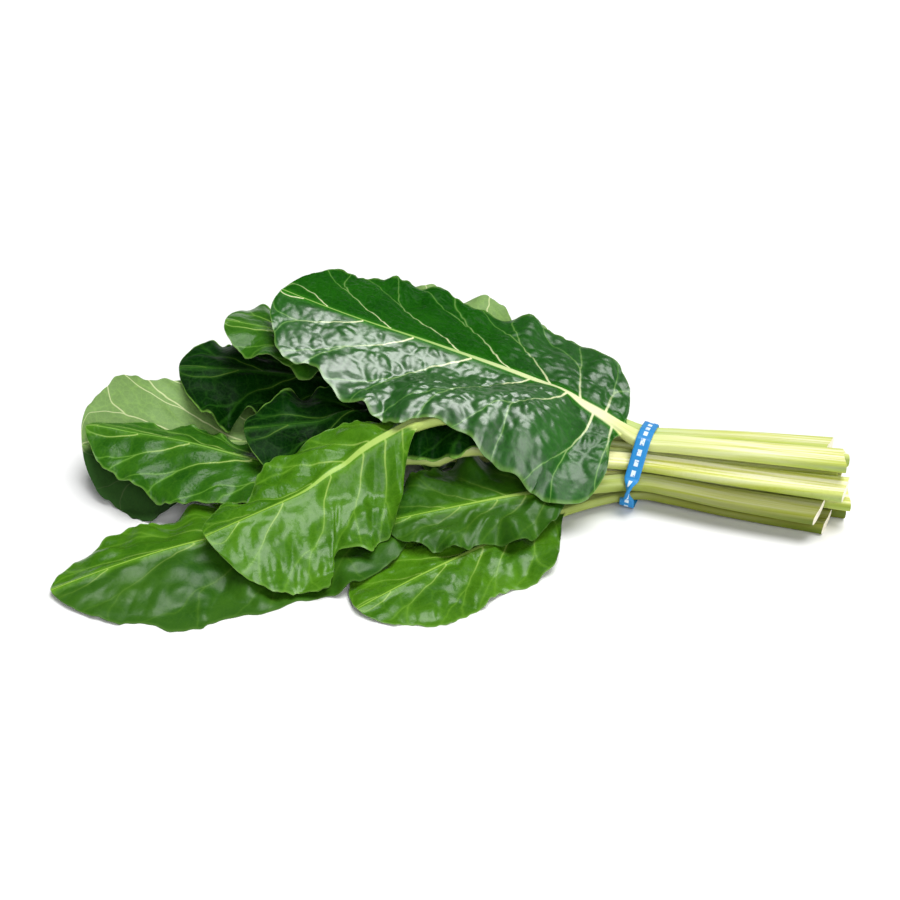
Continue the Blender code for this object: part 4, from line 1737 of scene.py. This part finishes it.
RELIEFS = {
    Green.TOP: Relief(),
    Green.DARK: Relief(quilting=1.3, pucker=0.5, small_pucker=0.1, roll=2.0, frill=2.6,
                       core_half=(3.6, 0.4)),
    Green.SHADED_INNER: Relief(quilting=1.2, pucker=0.5, small_pucker=0.1, roll=2.0, frill=4.0,
                        core_half=(3.2, 0.4)),
    Green.LIGHT: Relief(quilting=2.4, valley=8.0, pucker=0.9, small_pucker=0.1, roll=2.4,
                        frill=2.0, core_half=(3.6, 0.4), cells=Scatter(13.0, 21)),
    Green.PALE: Relief(quilting=1.4, valley=6.0, pucker=0.4, small_pucker=0.08,
                       core_half=(4.0, 0.4)),
}


@dataclass
class Leaf:
    """One leaf of the bunch: the piece that stands for its solid.

    The layout for its baked colours is one unit square, with the two skins side by side and
    narrow strips for the sides and the ends.
    """

    plan: LeafPlan
    skin: Skin | None = None
    coarse: Skin | None = None

    ACROSS = (0.01, 0.48)
    LENGTH = (0.02, 0.98)
    LOWER_SHIFT = (0.5, 0)
    SIDE_STRIPS = (0.484, 0.492)
    END_STRIPS = (0.003, 0.986)
    STRIP = 0.004

    def lay(self, solids: Pile, shown: Pile) -> None:
        """Lays the leaf on those before it.

        Args:
            solids: The pile of solids, which says how far the leaf is raised.
            shown: The pile of shown leaves, which keeps the small forms clear of each other.
        """
        form = LeafForm(self.plan)
        self.coarse = form.coarse()
        on_table(self.coarse)
        raised = solids.lay(self.coarse)
        self.skin = form.fine(RELIEFS[self.plan.green])
        on_table(self.skin)
        for lifted in raised:
            solids.raise_by(self.skin, lifted)
        settled = shown.settle(self.skin)
        LOG.info("%s: solid raised %.1f, small forms %.1f mm", self.plan.name,
                 sum(float(f.max()) for f in raised), settled)

    def faces(self) -> tuple[Array, Array, Array]:
        """The leaf's faces.

        Returns:
            The faces' point numbers, their places in the layout, and 1 on the cut end's faces.
        """
        rows, columns = self.skin.upper.shape[:2]
        upper = np.arange(rows * columns).reshape(rows, columns)
        lower = upper + rows * columns
        u, v = np.linspace(*self.ACROSS, columns), np.linspace(*self.LENGTH, rows)
        places = plane(v, u)[..., ::-1]
        sheets = [(upper, places, True, 0.0), (lower, places + self.LOWER_SHIFT, False, 0.0)]
        for edge, low, turned in zip((0, -1), self.SIDE_STRIPS, (False, True)):
            strip = np.stack([upper[:, edge], lower[:, edge]])
            sheets.append((strip, plane([low, low + self.STRIP], v), turned, 0.0))
        for edge, low, is_cut in zip((0, -1), self.END_STRIPS, (1.0, 0.0)):
            strip = np.stack([upper[edge], lower[edge]])
            place = plane([low, low + self.STRIP], u)[..., ::-1]
            sheets.append((strip, place, bool(is_cut), is_cut))
        faces, corners, cut = [], [], []
        for sheet, place, turned, is_cut in sheets:
            order = slice(None, None, -1 if turned else 1)
            faces.append(quads(sheet)[:, order])
            corners.append(quads(place)[:, order])
            cut.append(np.full(len(faces[-1]), is_cut))
        return np.concatenate(faces), np.concatenate(corners), np.concatenate(cut)

    def build(self, offset: Array, finish: bpy.types.Material) -> bpy.types.Object:
        """Makes the leaf's piece.

        Args:
            offset: From the bunch's own frame to the row frame.
            finish: The leaf's material.

        Returns:
            The piece.
        """
        skin = self.skin
        points = (skin.points() + offset) * MM
        faces, corners, cut = self.faces()
        origin = (STALKS.in_band(self.plan.slot) + offset) * MM
        piece = make_object(f"{self.plan.name}_shown", points, faces, origin, corners)
        mesh = piece.data
        for name, values in skin.marks.items():
            flat = values.reshape(-1, 3) if values.ndim == 3 else values.reshape(-1)
            store(mesh, name, np.concatenate([flat, flat]))
        count = skin.upper.shape[0] * skin.upper.shape[1]
        below = np.repeat([0.0, 1.0], count)
        under = below if self.plan.face is Face.UPPER else 1 - below
        store(mesh, "under", under)
        store(mesh, "cut", cut, "FACE")
        mesh.set_sharp_from_angle(angle=SHARP)
        mesh.materials.append(finish)
        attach(piece, BODY)
        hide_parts(self.plan.name)
        return piece


@dataclass
class RubberBand:
    """The band round the stalks, with its two half turns.

    The twist places are shares of the way round, and a section's corners are shares of its
    half width and half thickness.
    """

    width: float = 9.5
    thickness: float = 1.0
    clearance: float = 0.4
    height: float = 23.0
    sections: int = 420
    turn: float = math.radians(19)
    lean: float = math.radians(7)
    twist_width: float = 4.4
    twist_thickness: float = 2.2
    twist_reach: float = 9.0
    twist_places: Pair = (0.26, 0.74)
    rounded: tuple[Pair, ...] = ((-1, 0.5), (-0.94, 0.9), (-0.8, 1.0))
    flat_part: float = 0.6
    name: str = "rubber_band"

    STALK_STATIONS = 5
    STALK_SAMPLES = 25
    REACH = 1.5
    WAYS = 720

    def axes(self) -> tuple[Array, Array, Array]:
        """The band's own directions.

        Returns:
            The ways through the band, across it towards the back, and up.
        """
        through = np.array([
            math.cos(self.turn) * math.cos(self.lean),
            -math.sin(self.turn) * math.cos(self.lean),
            -math.sin(self.lean),
        ])
        across = np.array([math.sin(self.turn), math.cos(self.turn), 0])
        return through, across, np.cross(through, across)

    def hull(self, leaves: list[Leaf]) -> tuple[Array, Array, Array]:
        """The outline that the band is drawn round the stalks.

        Args:
            leaves: The leaves, whose stalks it holds.

        Returns:
            The outline's points, its outward ways, and the run along it.
        """
        through, across, up = self.axes()
        stalks = np.concatenate([
            self.spread(side[:self.STALK_STATIONS])
            for leaf in leaves for side in leaf.coarse.sheets()
        ])
        off_plane = np.abs(stalks @ through - self.height * through[2])
        near = off_plane < self.width / 2 + self.REACH
        flat = np.stack([-(stalks[near] @ across), stalks[near] @ up], axis=1)
        turn = np.linspace(0, 2 * np.pi, self.WAYS + 1)[:-1]
        ways = np.stack([np.sin(turn), np.cos(turn)], axis=1)
        rim = flat[(flat @ ways.T).argmax(axis=0)] + ways * self.clearance
        rim, ways = np.concatenate([rim, rim[:1]]), np.concatenate([ways, ways[:1]])
        run = np.concatenate([[0], np.cumsum(np.linalg.norm(np.diff(rim, axis=0), axis=1))])
        return rim, ways, run

    @classmethod
    def spread(cls, side: Array) -> Array:
        """Points spread over one skin of a stalk, closely enough for the band.

        Args:
            side: The skin's points, by station and column.

        Returns:
            The points, one a row.
        """
        t = np.linspace(0, 1, cls.STALK_SAMPLES)[:, None, None]
        found = [(a * (1 - t) + b * t).reshape(-1, 3) for a, b in zip(side, side[1:])]
        return np.concatenate(found)

    def rings(self, leaves: list[Leaf], corners: list[Pair]) -> tuple[Array, Array]:
        """The band's cross-sections.

        Args:
            leaves: The leaves that it holds.
            corners: A section's corners, as shares of its half width and half thickness.

        Returns:
            The corners' points, and their run along the band and place across it.
        """
        through, across, up = self.axes()
        rim, ways, run = self.hull(leaves)
        points, flat = [], []
        for i in range(self.sections):
            place = run[-1] * i / self.sections
            inner = np.array([np.interp(place, run, rim[:, k]) for k in (0, 1)])
            out = np.array([np.interp(place, run, ways[:, k]) for k in (0, 1)])
            out /= np.linalg.norm(out)
            outward = -across * out[0] + up * out[1]
            base = -across * inner[0] + up * inner[1] + through * self.height * through[2]
            turned, squeezed = 0.0, 0.0
            for share in self.twist_places:
                off = (place - share * run[-1]) / self.twist_reach
                turned += math.pi * float(smooth_step(-1, 1, off))
                squeezed += max(0.0, 1 - off * off) ** 2
            width = self.width + (self.twist_width - self.width) * squeezed
            depth = self.thickness + (self.twist_thickness - self.thickness) * squeezed
            reach = abs(math.sin(turned)) * width / 2 + abs(math.cos(turned)) * depth / 2
            centre = base + outward * reach
            wide = through * math.cos(turned) + outward * math.sin(turned)
            thick = -through * math.sin(turned) + outward * math.cos(turned)
            for u, v in corners:
                points.append(centre + wide * u * width / 2 + thick * v * depth / 2)
                flat.append((place, u * self.width / 2, v))
        return np.array(points), np.array(flat)

    def build(self, leaves: list[Leaf], offset: Array) -> bpy.types.Object:
        """Makes the band's piece.

        Args:
            leaves: The leaves that it holds.
            offset: From the bunch's own frame to the row frame.

        Returns:
            The piece.
        """
        top = list(self.rounded)
        top += [(u, 1.0) for u in np.linspace(-self.flat_part, self.flat_part, 7)]
        top += [(-u, v) for u, v in self.rounded[::-1]]
        corners = top + [(-u, -v) for u, v in top]
        points, flat = self.rings(leaves, corners)
        count, size = self.sections, len(corners)
        index = np.arange(count * size).reshape(count, size)
        after = np.roll(index, -1, axis=0)
        faces = np.stack([index, np.roll(index, -1, axis=1), np.roll(after, -1, axis=1), after],
                         axis=-1).reshape(-1, 4)
        u, v = np.linspace(0.01, 0.99, size + 1), np.linspace(0.01, 0.99, count + 1)
        layout = np.roll(quads(plane(v, u)[..., ::-1])[:, ::-1], 1, axis=1)
        origin = (points.mean(axis=0) + offset) * MM
        piece = make_object(f"{self.name}_shown", (points + offset) * MM, faces, origin,
                            layout)
        store(piece.data, "flat", flat)
        piece.data.set_sharp_from_angle(angle=SHARP)
        piece.data.materials.append(RubberFinish().material())
        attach(piece, BODY)
        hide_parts(self.name)
        return piece


# ---------------------------------------------------------------- the studio


@dataclass(frozen=True)
class Lamp:
    """A wide soft light, the same all over the floor.

    The way is where it comes from, the width how wide it looks in degrees, and the strength
    is in watts a square metre.
    """

    name: str
    way: Point
    width: float
    strength: float

    def add(self) -> None:
        """Adds the light."""
        lamp = bpy.data.lights.new(self.name, "SUN")
        lamp.angle, lamp.energy = math.radians(self.width), self.strength
        made = add_object(self.name, lamp, self.way)
        made.rotation_euler = (-Vector(self.way)).to_track_quat("-Z", "Y").to_euler()


@dataclass
class Studio:
    """The floor, the lights and the camera."""

    elevation: float = math.radians(32)
    distance: float = 1.155
    lens: float = 70
    aim: Point = (-0.0068, 0.0177, 0.024)
    lamps: tuple[Lamp, ...] = (
        Lamp("softbox", (1.4, 0.3, 5.9), 40, 3.25),
        Lamp("front fill", (1.4, -4.8, 3.4), 34, 1.35),
    )
    floor_size: float = 80.0
    floor_colour: Colour = (0.85, 0.85, 0.85)
    floor_roughness: float = 0.8
    wall: float = 1.05
    ceiling: float = 0.07
    wall_fade: Pair = (0.34, 0.10)

    def floor(self) -> None:
        """Adds the plain pale floor."""
        half = self.floor_size / 2
        corners = [(-half, -half, 0), (half, -half, 0), (half, half, 0), (-half, half, 0)]
        mesh = bpy.data.meshes.new("floor")
        mesh.from_pydata(corners, [], [(0, 1, 2, 3)])
        floor = add_object("floor", mesh, (0, 0, 0))
        paint, pale = Paint.material("pale floor")
        paint.dress({"Base Color": self.floor_colour, "Roughness": self.floor_roughness})
        mesh.materials.append(pale)

    def surround(self) -> None:
        """Adds the pale wall all round, which fades into a dim ceiling."""
        world = bpy.data.worlds.new("studio")
        bpy.context.scene.world = world
        paint = Paint(world, "Background")
        way = paint.node("ShaderNodeTexCoord", {}, {}).outputs["Generated"]
        height = paint.parts(way)[2]
        wall = (self.wall - self.ceiling) * height.step(*self.wall_fade)
        paint.dress({"Color": (1, 1, 1), "Strength": self.ceiling + wall})

    def build(self) -> None:
        """Adds everything."""
        self.floor()
        for lamp in self.lamps:
            lamp.add()
        self.surround()
        bpy.context.scene.view_settings.view_transform = "Standard"
        back = Vector((0, -math.cos(self.elevation), math.sin(self.elevation)))
        place = Vector(self.aim) + back * self.distance
        camera = add_object("camera", bpy.data.cameras.new("camera"), place)
        camera.data.lens = self.lens
        camera.rotation_euler = (-back).to_track_quat("-Z", "Y").to_euler()
        bpy.context.scene.camera = camera


def main() -> None:
    """Builds the bunch and the studio."""
    logging.basicConfig(level=logging.INFO, format="%(message)s")
    finishes = {green: made.material(green.finish) for green, made in FINISHES.items()}
    solids, shown = Pile(SOLIDS_CLEARANCE), Pile(0.0)
    leaves = [Leaf(plan) for plan in LEAVES]
    for leaf in leaves:
        leaf.lay(solids, shown)
    low = np.min([leaf.coarse.points().min(axis=0) for leaf in leaves], axis=0)
    offset = np.array(CAD_BOX[0]) / MM - low
    LOG.info("offset %s", np.round(offset, 2))
    for leaf in leaves:
        piece = leaf.build(offset, finishes[leaf.plan.green])
        LOG.info("%s: %d triangles", piece.name, 2 * len(piece.data.polygons))
    piece = RubberBand().build(leaves, offset)
    LOG.info("%s: %d triangles", piece.name, 2 * len(piece.data.polygons))
    Studio().build()


if __name__ == "__main__":
    main()
